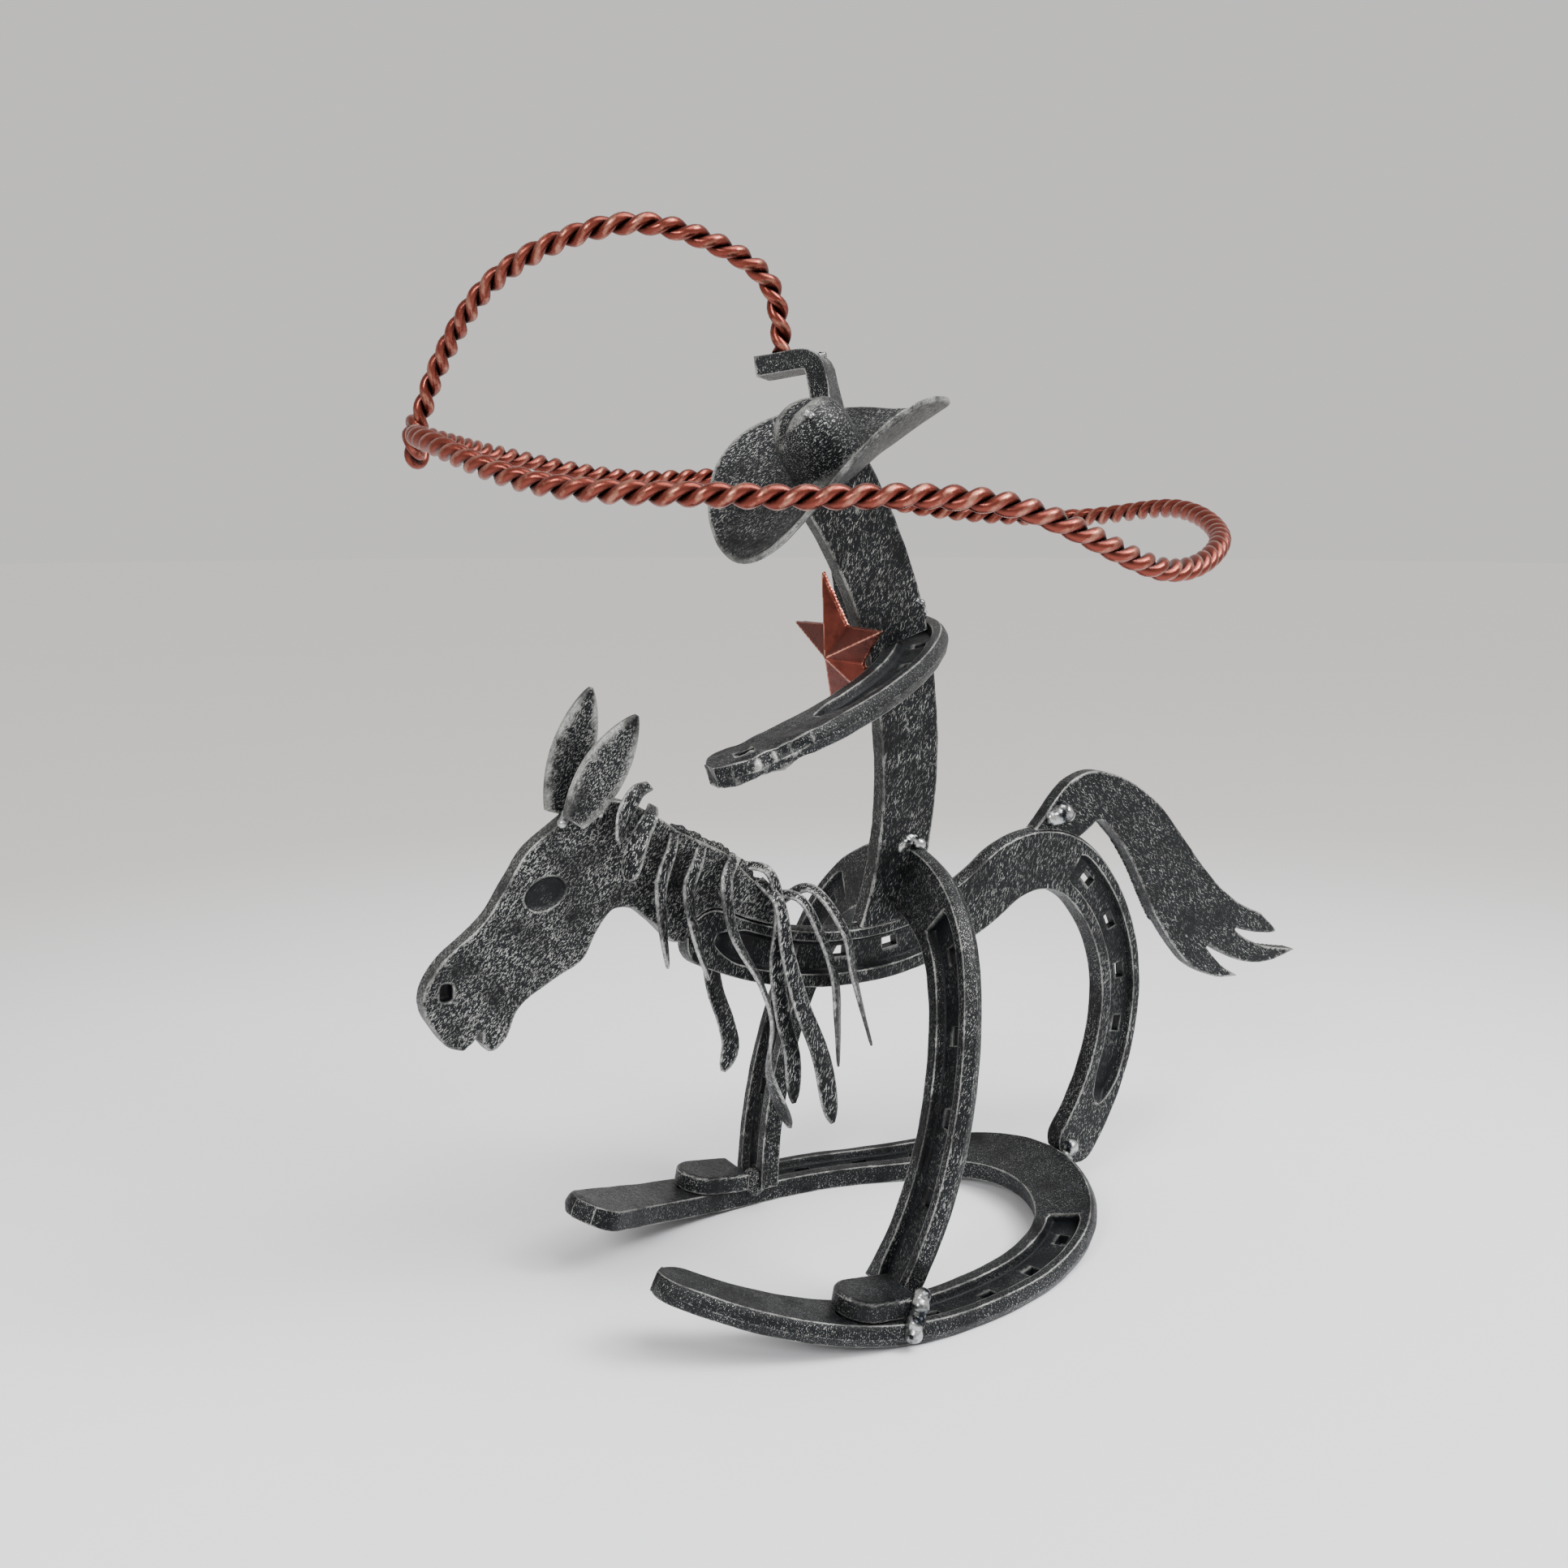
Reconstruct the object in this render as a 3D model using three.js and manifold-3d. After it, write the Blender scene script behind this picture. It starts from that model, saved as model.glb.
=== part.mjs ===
// A cowboy on a bucking rocking horse, welded together from old horseshoes, plate and twisted wire.
// Millimetres. +X runs to the horse's tail, +Y to the rider's right hand side, +Z up.
// The origin is on the ground, under the near branch of the rocker, at the middle of its flat spot.
// The pieces are worked out about the horse's middle plane and moved there together at the end.

import * as THREE from 'three';
import { mergeVertices } from 'three/addons/utils/BufferGeometryUtils.js';
import Module from 'manifold-3d';

const wasm = await Module();
wasm.setup();

// Driving dimensions shared by every horseshoe
const BAR = 6; // thickness of the shoe bar and of the head plate
const TOE_WEB = 20; // width of the bar at the toe
const HEEL_WEB = 17.6; // width of the bar at the heels
const TOE_RADIUS = 41; // centreline of the toe
const TOE_ANGLE = 1.1; // half of the toe arc, radians
const HEEL_ROUND = 7; // length over which a heel is rounded off
const CREASE_DEPTH = 2.6; // nail crease in the ground side
const CREASE_INNER = -0.52; // edges of the crease as shares of half the web
const CREASE_OUTER = 0.56;
const NAIL_ACROSS = 0.12; // nail holes, as a share of half the web
const NAIL_LENGTH = 5.2; // square nail holes through the crease
const NAIL_WIDTH = 3.2;
const GAP = 0.3; // clearance left where two welded pieces meet

// Rocker base
const BASE_BRANCH_RADIUS = 116;
const BASE_BRANCH = 134;
const BASE_TOE_X = 15; // how far the middle of the toe arc sits behind the flat spot
const FLAT_HALF = 15; // half length of the flat spot
const ROCK_FRONT = 0.003; // rise of the rocker towards the heels, per mm squared
const ROCK_REAR = 0.004; // rise of the rocker towards the toe

// Rider's legs
const LEG_BRANCH_RADIUS = 104;
const LEG_BRANCH = 100;
const LEG_TOE_UP = 68; // middle of the toe arc above the feet, along the shoe
const LEG_LEAN = 0.257; // lean to the rear, radians
const LEG_YAW = -0.045; // the far leg stands a little further forward
const LEG_SIDE = 3; // shift to the far side
const FOOT_X = -26.8; // front face of the legs at the foot
const FOOT_Z = 7;
const BOOT_LENGTH = 22;
const BOOT_WIDTH = 17;
const BOOT_THICK = 5.4;

// Horse's body: a shoe opened out into the hind leg, the rump and the belly
const BODY_START = [68.2, 13]; // middle of the hind foot, x and z
const BODY_HEADING = 0.871; // direction up the hind leg, radians
const BODY_RUNS = [[48.7, 82.2], [51.1, 57.4], [38.1, 27.1], [47.6, -82.8], [63, -107.1]];
const BODY_TOE_AT = 128; // station of the toe, counted from the hind foot
const HOOF_EXTRA = 3; // hind foot runs on to meet the base

// Rider's trunk: one branch of a shoe standing on end
const TRUNK_START = [-4.8, 100];
const TRUNK_HEADING = 1.204;
const TRUNK_RUNS = [[18.5, 111], [116.7, 136.9]];
const TRUNK_FOOT_WEB = 17.6;
const TRUNK_TOP_WEB = 25.6;
const TRUNK_EXTRA = 8; // runs past both ends before it is trimmed to the belly and the hat

// Rider's arms: a shoe lying across the back, its far branch bent up to the raised hand
const ARM_PLACE = [-27.5, 22.5, 172.3];
const ARM_TURN = [-0.152, -0.255, 0.424]; // roll, pitch and yaw
const ARM_BRANCH_RADIUS = 100;
const ARM_BRANCH = 100;
const ARM_BEND_AT = -16; // station where the far arm turns upward
const ARM_BEND_RADIUS = 9;
const ARM_TOP = [-1.2, 40, 257]; // where the raised arm ends
const HAND_OUT = [-0.72, 0.7, -0.15]; // the hand points forward and away from the viewer
const HAND_LENGTH = 17.5;
const HAND_BEND = 4.5;

// Flat plates
const HEAD_EYE = [-110.5, 121.8];
const EYE_DEPTH = 1.2;
const NOSTRIL = [-137.3, 100.2];
const TAIL_THICK = 5;
const EAR_THICK = 2.4;

// Hat
const HAT_PLACE = [-21, 2.7, 227.7];
const HAT_TILT = -0.581;
const HAT_YAW = 0.086;
const BRIM_LONG = 38.3; // half length, front to back
const BRIM_WIDE = 33.7; // half width
const BRIM_THICK = 1.6;
const BRIM_CURL = 0.0126; // rise of the sides, per mm squared
const BRIM_DROOP = -0.0018; // droop of the front and back
const CROWN_LONG = 11.6; // half length
const CROWN_WIDE = 9.5; // half width
const CROWN_HIGH = 22;

// Star on the chest
const STAR_PLACE = [-19.5, 0, 179];
const STAR_LEAN = 0.3;
const STAR_REACH = 23;
const STAR_WAIST = 9.4;
const STAR_HIGH = 6;
const STAR_SHEET = 1.3;

// Lasso of two twisted wires
const WIRE = 3.2;
const HALF_TURN = 7.1; // length of rope in which the two wires change sides
const TWIST_STEPS = 2.5; // steps in each half turn
const LOOP_MIDDLE = [6.2, 55];
const LOOP_RADIUS = 122;

const IRON = new THREE.MeshStandardMaterial({ color: 0x2c2f33, roughness: 0.5, metalness: 0.85 });
const COPPER = new THREE.MeshStandardMaterial({ color: 0x9c4a38, roughness: 0.42, metalness: 0.7 });

const sculpture = new THREE.Group();

// Turns a closed geometry into a solid, with its faces outward also where a bend has mirrored it
function solid(geometry) {
  const bare = geometry.clone();
  bare.deleteAttribute('normal');
  bare.deleteAttribute('uv');
  const merged = mergeVertices(bare, 1e-4);
  const points = merged.attributes.position;
  const corners = Array.from(merged.index.array);
  const [a, b, c] = [new THREE.Vector3(), new THREE.Vector3(), new THREE.Vector3()];
  const faces = [];
  let volume = 0;
  for (let i = 0; i < corners.length; i += 3) {
    const [p, q, r] = corners.slice(i, i + 3);
    if (p !== q && q !== r && r !== p) {
      faces.push([p, q, r]);
      a.fromBufferAttribute(points, p);
      b.fromBufferAttribute(points, q);
      c.fromBufferAttribute(points, r);
      volume += a.dot(b.cross(c));
    }
  }
  const outward = faces.map(([p, q, r]) => (volume < 0 ? [p, r, q] : [p, q, r]));
  const vertProperties = new Float32Array(points.array);
  const triVerts = new Uint32Array(outward.flat());
  return new wasm.Manifold(new wasm.Mesh({ numProp: 3, vertProperties, triVerts }));
}

// Adds a finished solid to the sculpture as a named piece
function addPiece(name, body, material) {
  const mesh = body.getMesh();
  const geometry = new THREE.BufferGeometry();
  geometry.setAttribute('position', new THREE.BufferAttribute(mesh.vertProperties, 3));
  geometry.setIndex(new THREE.BufferAttribute(mesh.triVerts, 1));
  geometry.computeVertexNormals();
  const piece = new THREE.Mesh(geometry, material);
  piece.name = name;
  sculpture.add(piece);
}

// Keeps the main body where a cut has left crumbs
function largest(body) {
  return body.decompose().sort((one, other) => other.volume() - one.volume())[0];
}

// Moves every corner of a geometry by a rule
function reshape(geometry, rule) {
  const corner = geometry.attributes.position;
  for (let i = 0; i < corner.count; i += 1) {
    const spot = rule(corner.getX(i), corner.getY(i), corner.getZ(i));
    corner.setXYZ(i, spot.x, spot.y, spot.z);
  }
  return geometry;
}

// Forges a bar: a section is drawn out along the stations and each corner is set by place(along, across, up)
function forge(section, stations, place) {
  const steps = stations.length - 1;
  const bar = new THREE.ExtrudeGeometry(section, { depth: 1, steps, bevelEnabled: false });
  return solid(reshape(bar, (x, y, z) => place(stations[Math.round(z * steps)], x, y)));
}

function polygon(points) {
  return new THREE.Shape(points.map(([x, y]) => new THREE.Vector2(x, y)));
}

// Evenly spaced stations, closer together over a rounded end
function stationsBetween(from, to, pitch, roundStart = 0, roundEnd = 0) {
  const start = from + roundStart;
  const end = to - roundEnd;
  const count = Math.max(2, Math.round((end - start) / pitch));
  const middle = Array.from({ length: count + 1 }, (_, i) => start + (end - start) * i / count);
  const head = roundStart > 0 ? [0, 0.09, 0.33].map((share) => from + roundStart * share) : [];
  const tail = roundEnd > 0 ? [0.33, 0.09, 0].map((share) => to - roundEnd * share) : [];
  return [...head, ...middle, ...tail];
}

// Share of the full width left near a rounded end
function roundedShare(distance, round) {
  if (round <= 0 || distance >= round) {
    return 1;
  }
  const share = 1 - Math.max(0, distance) / round;
  return Math.max(0.38, Math.sqrt(1 - share * share));
}

// A path of arcs: returns the point and the heading at a distance from the start
function arcPath([startX, startY], heading, runs) {
  return (distance) => {
    let x = startX;
    let y = startY;
    let angle = heading;
    let left = distance;
    for (let i = 0; i < runs.length; i += 1) {
      const [length, radius] = runs[i];
      const last = i === runs.length - 1;
      const run = last || left < length ? left : length;
      const turn = run / radius;
      x += radius * (Math.sin(angle + turn) - Math.sin(angle));
      y -= radius * (Math.cos(angle + turn) - Math.cos(angle));
      angle += turn;
      left -= run;
      if (left <= 0) {
        break;
      }
    }
    return { x, y, angle };
  };
}

// Centreline of a horseshoe: station 0 is the toe, negative stations are the near branch
function shoeLine(branchRadius) {
  const toeLength = TOE_RADIUS * TOE_ANGLE;
  return (station) => {
    const side = Math.sign(station) || 1;
    const distance = Math.abs(station);
    const onToe = distance <= toeLength;
    const angle = onToe ? distance / TOE_RADIUS : TOE_ANGLE + (distance - toeLength) / branchRadius;
    const radius = onToe ? TOE_RADIUS : branchRadius;
    const shift = onToe ? 0 : TOE_RADIUS - branchRadius;
    const x = shift * Math.cos(TOE_ANGLE) + radius * Math.cos(angle);
    const y = shift * Math.sin(TOE_ANGLE) + radius * Math.sin(angle);
    return { x, y: y * side, outX: Math.cos(angle), outY: Math.sin(angle) * side };
  };
}

// Width of the bar at a distance from the toe
function webAt(distance) {
  return HEEL_WEB + (TOE_WEB - HEEL_WEB) * Math.exp(-((distance / 40) ** 2));
}

// Section of the shoe bar, with half the web as 1: the outer side has a ridge at middle height
function barSection(clearance = 0) {
  const low = -clearance;
  const high = BAR + clearance;
  return polygon([[-1, low], [0.87, low], [1, 0.45 * BAR], [0.89, high], [-0.95, high]]);
}

// Bar of a shoe between two stations, with a placing rule and the distance from the toe
function shoeBar({ from, to, pitch, place, distance, roundStart = 0, roundEnd = 0, clearance = 0 }) {
  const stations = stationsBetween(from - clearance, to + clearance, pitch, roundStart, roundEnd);
  return forge(barSection(clearance), stations, (station, x, up) => {
    const ends = roundedShare(station - from, roundStart) * roundedShare(to - station, roundEnd);
    const half = webAt(distance(station)) / 2 * ends + clearance;
    return place(station, x * half, up);
  });
}

// Crease and nail holes, cut from the top face: squared at the toe side and pointed at the heel side
function creaseCut({ from, to, nails, place, distance, depth = CREASE_DEPTH }) {
  const floor = BAR - depth;
  const profile = polygon([[CREASE_INNER, BAR + 1], [-0.4, floor], [0.42, floor], [CREASE_OUTER, BAR + 1]]);
  const taper = 9;
  const length = Math.abs(to - from);
  const ends = [0, 0.02, 0.3, 0.65, 1].map((share) => taper * share);
  const middle = Math.round((length - 2 * taper) / 9);
  const inner = Array.from({ length: middle - 1 }, (_, i) => taper + (length - 2 * taper) * (i + 1) / middle);
  const offsets = [0, 2.5, taper, ...inner, ...ends.map((end) => length - taper + end).slice(1)];
  const direction = Math.sign(to - from);
  const narrow = (offset) => {
    const toHeel = (length - offset) / taper;
    return Math.min(1, 0.75 + offset / 10, 0.12 + 0.88 * Math.sqrt(Math.max(0, Math.min(1, toHeel))));
  };
  let cut = forge(profile, offsets, (offset, x, up) => {
    const station = from + direction * offset;
    const half = webAt(distance(station)) / 2;
    return place(station, (-0.04 + (x + 0.04) * narrow(offset)) * half, up);
  });
  for (const share of nails) {
    const station = from + direction * length * share;
    const square = polygon([[-1, -1], [1, -1], [1, BAR], [-1, BAR]]);
    const hole = forge(square, [station - NAIL_LENGTH / 2, station + NAIL_LENGTH / 2], (along, x, up) => (
      place(along, NAIL_ACROSS * TOE_WEB / 2 + x * NAIL_WIDTH / 2, up)
    ));
    cut = cut.add(hole);
  }
  return cut;
}

// Height of the base's underside above the ground
function rockerRise(x) {
  const front = Math.max(0, -FLAT_HALF - x);
  const rear = Math.max(0, x - FLAT_HALF);
  return ROCK_FRONT * front ** 2 + ROCK_REAR * rear ** 2;
}

function rockerSlope(x) {
  const front = Math.max(0, -FLAT_HALF - x);
  const rear = Math.max(0, x - FLAT_HALF);
  return 2 * (ROCK_REAR * rear - ROCK_FRONT * front);
}

// Lays a point of the flat plan onto the rocker, with its height square to the bent bar
function onRocker(x, y, up) {
  const lean = Math.atan(rockerSlope(x));
  return new THREE.Vector3(x - up * Math.sin(lean), y, rockerRise(x) + up * Math.cos(lean));
}

// Base: the rocker
const NAILS = [0.1, 0.3, 0.5, 0.7];
const baseLine = shoeLine(BASE_BRANCH_RADIUS);
const baseReach = TOE_RADIUS * TOE_ANGLE + BASE_BRANCH;

function placeOnBase(station, across, up) {
  const point = baseLine(station);
  return onRocker(BASE_TOE_X + point.x + point.outX * across, point.y + point.outY * across, up);
}

function baseBar(clearance) {
  return shoeBar({
    from: -baseReach,
    to: baseReach,
      pitch: 9.5,
    place: placeOnBase,
    distance: Math.abs,
    roundStart: HEEL_ROUND,
    roundEnd: HEEL_ROUND,
    clearance,
  });
}

const baseClearance = baseBar(GAP);
let base = baseBar(0);
for (const side of [-1, 1]) {
  base = base.subtract(creaseCut({
    from: 33 * side,
    to: 132 * side,
    nails: NAILS,
    place: placeOnBase,
    distance: Math.abs,
  }));
}

// Rider's legs: a whole shoe astride the horse, its crease facing forward
const legLine = shoeLine(LEG_BRANCH_RADIUS);
const legReach = TOE_RADIUS * TOE_ANGLE + LEG_BRANCH;
const legUp = new THREE.Vector3(Math.sin(LEG_LEAN), 0, Math.cos(LEG_LEAN));
const legFront = new THREE.Vector3(-Math.cos(LEG_LEAN), 0, Math.sin(LEG_LEAN));
const legFoot = new THREE.Vector3(FOOT_X, 0, FOOT_Z).addScaledVector(legFront, -BAR);
const vertical = new THREE.Vector3(0, 0, 1);

function placeOnLegs(station, across, up) {
  const point = legLine(station);
  const spot = legFoot.clone().addScaledVector(legUp, LEG_TOE_UP + point.x + point.outX * across);
  spot.addScaledVector(legFront, up);
  spot.y += point.y + point.outY * across;
  return spot.applyAxisAngle(vertical, LEG_YAW).add(new THREE.Vector3(0, LEG_SIDE, 0));
}

function legBar(clearance) {
  return shoeBar({ from: -legReach, to: legReach, pitch: 8, place: placeOnLegs, distance: Math.abs, clearance });
}

const legClearance = legBar(GAP);
let legs = legBar(0);
for (const side of [-1, 1]) {
  legs = legs.subtract(creaseCut({
    from: 27 * side,
    to: 138 * side,
    nails: NAILS,
    place: placeOnLegs,
    distance: Math.abs,
  }));
}
const footTop = BAR + GAP + rockerRise(FOOT_X - 6);
const belowFeet = new THREE.BoxGeometry(200, 200, 60).translate(FOOT_X, 0, footTop - 30);
legs = largest(legs.subtract(solid(belowFeet)));

// Boots: flat heels cut from a shoe, lying on the rocker in front of each foot
function boot(side) {
  const middle = 45.5 * side;
  const heel = FOOT_X - 2.2;
  const toe = heel - BOOT_LENGTH;
  const plan = [];
  const steps = 8;
  for (let i = 0; i <= steps; i += 1) {
    const angle = Math.PI / 2 + Math.PI * i / steps;
    plan.push([toe + 8 + 8 * Math.cos(angle), middle + BOOT_WIDTH / 2 * Math.sin(angle)]);
  }
  for (const [x, share] of [[(toe + heel) / 2, -0.5], [heel, -0.47], [heel, 0.47], [(toe + heel) / 2, 0.5]]) {
    plan.push([x, middle + share * BOOT_WIDTH]);
  }
  const plate = new THREE.ExtrudeGeometry(polygon(plan), { depth: BOOT_THICK, bevelEnabled: false });
  return solid(reshape(plate, (x, y, z) => onRocker(x, y, BAR + GAP + z))).subtract(legClearance);
}

// Horse's body: hind leg, rump and belly in one opened shoe, its crease on the near side
const bodyLine = arcPath(BODY_START, BODY_HEADING, BODY_RUNS);
const bodyReach = BODY_RUNS.reduce((sum, [length]) => sum + length, 0);
const fromBodyToe = (station) => station - BODY_TOE_AT;

function placeOnBody(station, across, up) {
  const point = bodyLine(Math.max(0, station));
  const before = Math.min(0, station);
  const x = point.x + Math.cos(point.angle) * before + Math.sin(point.angle) * across;
  const z = point.y + Math.sin(point.angle) * before - Math.cos(point.angle) * across;
  return new THREE.Vector3(x, BAR / 2 - up, z);
}

function bodyBar(clearance) {
  return shoeBar({
    from: -HOOF_EXTRA,
    to: bodyReach,
    pitch: 7.5,
    place: placeOnBody,
    distance: fromBodyToe,
    roundStart: HEEL_ROUND,
    roundEnd: HEEL_ROUND,
    clearance,
  });
}

const bodyClearance = bodyBar(GAP).add(baseClearance);
let body = bodyBar(0);
for (const [from, to] of [[BODY_TOE_AT - 22, 18], [BODY_TOE_AT + 25, bodyReach - 8]]) {
  body = body.subtract(creaseCut({ from, to, nails: NAILS, place: placeOnBody, distance: fromBodyToe }));
}
body = body.subtract(baseClearance);

// The belly passes through the bow of the legs with a clearance
const legsAstride = legs.subtract(bodyBar(GAP));

// Cuts an outline in the plane of the horse to a thickness
function upright(outline, thickness, middle = 0) {
  const plate = new THREE.ExtrudeGeometry(outline, { depth: thickness, bevelEnabled: false, curveSegments: 3 });
  return solid(reshape(plate, (x, z, depth) => new THREE.Vector3(x, middle - thickness / 2 + depth, z)));
}

// Horse's head and neck, cut from plate
const headOutline = new THREE.Shape();
headOutline.moveTo(-79.6, 139.3);
headOutline.splineThru([[-88, 143.5], [-99, 145], [-104, 141.1], [-114.6, 133.6], [-120, 126.3],
  [-127, 116.6], [-137.4, 108.5], [-142.8, 101.5], [-143.3, 95.5], [-140.8, 90.4], [-137.6, 86],
  [-133.5, 84]].map(([x, z]) => new THREE.Vector2(x, z)));
headOutline.lineTo(-130.6, 86);
headOutline.lineTo(-128, 90.2);
headOutline.lineTo(-128.6, 85);
headOutline.splineThru([[-127, 82.8], [-124.8, 83.1], [-121.8, 86], [-119.2, 92], [-115, 95.6],
  [-107.4, 99.4], [-100.4, 103.2], [-96.6, 109.8], [-92, 115], [-86.5, 114.6], [-81, 110.5],
  [-75, 104]].map(([x, z]) => new THREE.Vector2(x, z)));
headOutline.lineTo(-56, 100);
headOutline.lineTo(-39, 101);
headOutline.splineThru([[-44, 112], [-51, 119.5], [-57.5, 126], [-65, 130.2],
  [-73, 134.5]].map(([x, z]) => new THREE.Vector2(x, z)));
headOutline.closePath();

const eye = new THREE.Shape();
eye.absellipse(HEAD_EYE[0], HEAD_EYE[1], 6.4, 4.4, 0, 2 * Math.PI, false, 0.35);
const nostril = polygon([[-2.4, -2.7], [2.2, -2.7], [2.4, 2.7], [-2.2, 2.7]].map(([x, z]) => (
  [NOSTRIL[0] + x, NOSTRIL[1] + z])));
let head = upright(headOutline, BAR).subtract(bodyClearance);
for (const face of [-1, 1]) {
  head = head.subtract(upright(eye, 2 * EYE_DEPTH, face * BAR / 2));
}
head = head.subtract(upright(nostril, BAR + 2));
head = largest(head);

// Ears: leaves of thin plate, one welded on each face of the head
function ear(base, tip, width, side) {
  const outline = new THREE.Shape();
  const length = Math.hypot(tip[0] - base[0], tip[1] - base[1]);
  const across = [-(tip[1] - base[1]) / length, (tip[0] - base[0]) / length];
  const at = (along, out) => new THREE.Vector2(
    base[0] + (tip[0] - base[0]) * along + across[0] * out * width,
    base[1] + (tip[1] - base[1]) * along + across[1] * out * width,
  );
  outline.moveTo(tip[0], tip[1]);
  outline.splineThru([at(0.8, 0.33), at(0.5, 0.5), at(0.2, 0.45), at(0, 0.3)]);
  outline.lineTo(at(-0.06, 0).x, at(-0.06, 0).y);
  outline.lineTo(at(0, -0.3).x, at(0, -0.3).y);
  outline.splineThru([at(0.2, -0.45), at(0.5, -0.5), at(0.8, -0.33), tip].map((p) => (
    Array.isArray(p) ? new THREE.Vector2(p[0], p[1]) : p)));
  return upright(outline, EAR_THICK, side * (BAR / 2 + GAP + EAR_THICK / 2));
}

// Tail: a plate with its end cut into locks
const tailOutline = new THREE.Shape();
tailOutline.moveTo(48, 119.5);
tailOutline.splineThru([[53, 124.5], [58.7, 131], [65, 135.6], [73.9, 137.4], [87.3, 133.3], [100.7, 124.5],
  [113.6, 110.7], [127.5, 95.9], [139, 87], [150.4, 81.6]].map(([x, z]) => new THREE.Vector2(x, z)));
tailOutline.splineThru([[158.3, 74.2], [150, 74.6], [141, 77], [134, 80.8]].map(([x, z]) => new THREE.Vector2(x, z)));
tailOutline.splineThru([[143, 74], [155, 68.8], [169, 66.2]].map(([x, z]) => new THREE.Vector2(x, z)));
tailOutline.splineThru([[156, 63.6], [143, 65.4], [132, 70.4], [122, 76.5]].map(([x, z]) => new THREE.Vector2(x, z)));
tailOutline.splineThru([[128, 70], [134, 64.8], [140.8, 60.8]].map(([x, z]) => new THREE.Vector2(x, z)));
tailOutline.splineThru([[129, 62.3], [116, 69.6], [103, 84.8], [95, 98.5], [89, 108.4], [82, 117], [76, 121.5],
  [72, 119.6], [66, 116]].map(([x, z]) => new THREE.Vector2(x, z)));
tailOutline.closePath();
const tail = upright(tailOutline, TAIL_THICK).subtract(bodyClearance);

// Rider's arms
const armTurn = new THREE.Matrix4().makeRotationFromEuler(new THREE.Euler(...ARM_TURN, 'ZYX'));
const armPlace = armTurn.clone().setPosition(new THREE.Vector3(...ARM_PLACE));
const armLine = shoeLine(ARM_BRANCH_RADIUS);
const armReach = TOE_RADIUS * TOE_ANGLE + ARM_BRANCH;

function placeOnArm(station, across, up) {
  const point = armLine(station);
  return new THREE.Vector3(point.x + point.outX * across, point.y + point.outY * across, up - BAR)
    .applyMatrix4(armPlace);
}

// The far arm bends up out of the shoe, rises and folds over into the hand
const bendStart = placeOnArm(ARM_BEND_AT, 0, BAR / 2);
const bendFrom = placeOnArm(ARM_BEND_AT - 1, 0, BAR / 2);
const alongArm = bendStart.clone().sub(bendFrom).normalize();
const armTop = new THREE.Vector3(...ARM_TOP);
const corner = bendStart.clone().addScaledVector(alongArm, ARM_BEND_RADIUS);
const upArm = armTop.clone().sub(corner).normalize();
const handOut = new THREE.Vector3(...HAND_OUT).normalize();
const handCorner = armTop.clone().addScaledVector(upArm, HAND_BEND);
const limb = new THREE.CurvePath();
limb.add(new THREE.QuadraticBezierCurve3(
  bendStart, corner, corner.clone().addScaledVector(upArm, ARM_BEND_RADIUS)));
limb.add(new THREE.LineCurve3(corner.clone().addScaledVector(upArm, ARM_BEND_RADIUS), armTop));
limb.add(new THREE.QuadraticBezierCurve3(
  armTop, handCorner, handCorner.clone().addScaledVector(handOut, HAND_BEND)));
limb.add(new THREE.LineCurve3(
  handCorner.clone().addScaledVector(handOut, HAND_BEND),
  handCorner.clone().addScaledVector(handOut, HAND_LENGTH)));
const webStart = placeOnArm(ARM_BEND_AT, 1, BAR / 2).sub(bendStart).normalize();
const webEnd = new THREE.Vector3(0.7, 0.72, 0).normalize();
const limbLength = limb.getLength();

function placeOnLimb(station, across, up) {
  const share = Math.min(1, Math.max(0, (station - ARM_BEND_AT) / limbLength));
  const point = limb.getPointAt(share);
  const along = limb.getTangentAt(share);
  const web = webStart.clone().lerp(webEnd, Math.min(1, share * 1.3));
  web.addScaledVector(along, -web.dot(along)).normalize();
  const face = along.clone().cross(web).multiplyScalar(-1);
  return point.addScaledVector(web, across).addScaledVector(face, up - BAR / 2);
}

function armBar(clearance) {
  const near = stationsBetween(-armReach - clearance, ARM_BEND_AT, 8, HEEL_ROUND, 0).slice(0, -1);
  const [elbow, wrist, fold] = limb.getCurveLengths();
  const far = [0, elbow / 3, elbow * 2 / 3, elbow, (elbow * 2 + wrist) / 3, (elbow + wrist * 2) / 3, wrist,
    (wrist * 2 + fold) / 3, (wrist + fold * 2) / 3, fold, limbLength - 1.2, limbLength];
  const stations = [...near, ...far.map((distance) => ARM_BEND_AT + distance)];
  return forge(barSection(clearance), stations, (station, x, up) => {
    const nearEnd = roundedShare(station + armReach, HEEL_ROUND);
    const farEnd = station > ARM_BEND_AT + limbLength - 1 ? 0.9 : 1;
    const half = webAt(Math.abs(station)) / 2 * nearEnd * farEnd + clearance;
    return station < ARM_BEND_AT ? placeOnArm(station, x * half, up) : placeOnLimb(station, x * half, up);
  });
}

let arms = armBar(0).subtract(creaseCut({
  from: -30, to: -112, nails: [0.2, 0.45, 0.7], place: placeOnArm, distance: Math.abs,
}));
const heelHole = new THREE.CylinderGeometry(1, 1, 3 * BAR, 10);
reshape(heelHole, (x, y, z) => placeOnArm(-armReach + 10 + x * 2.8, z * 1.8, y));
arms = arms.subtract(solid(heelHole));

// Hat: the brim is a disc of sheet curled up at the sides, the crown a dome on it
const hatPlace = new THREE.Matrix4()
  .makeRotationFromEuler(new THREE.Euler(-0.018, HAT_TILT, HAT_YAW, 'ZYX'))
  .setPosition(new THREE.Vector3(...HAT_PLACE));

function curl(x, y, z) {
  return new THREE.Vector3(x, y, z + BRIM_CURL * y * y + BRIM_DROOP * x * x).applyMatrix4(hatPlace);
}

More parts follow.
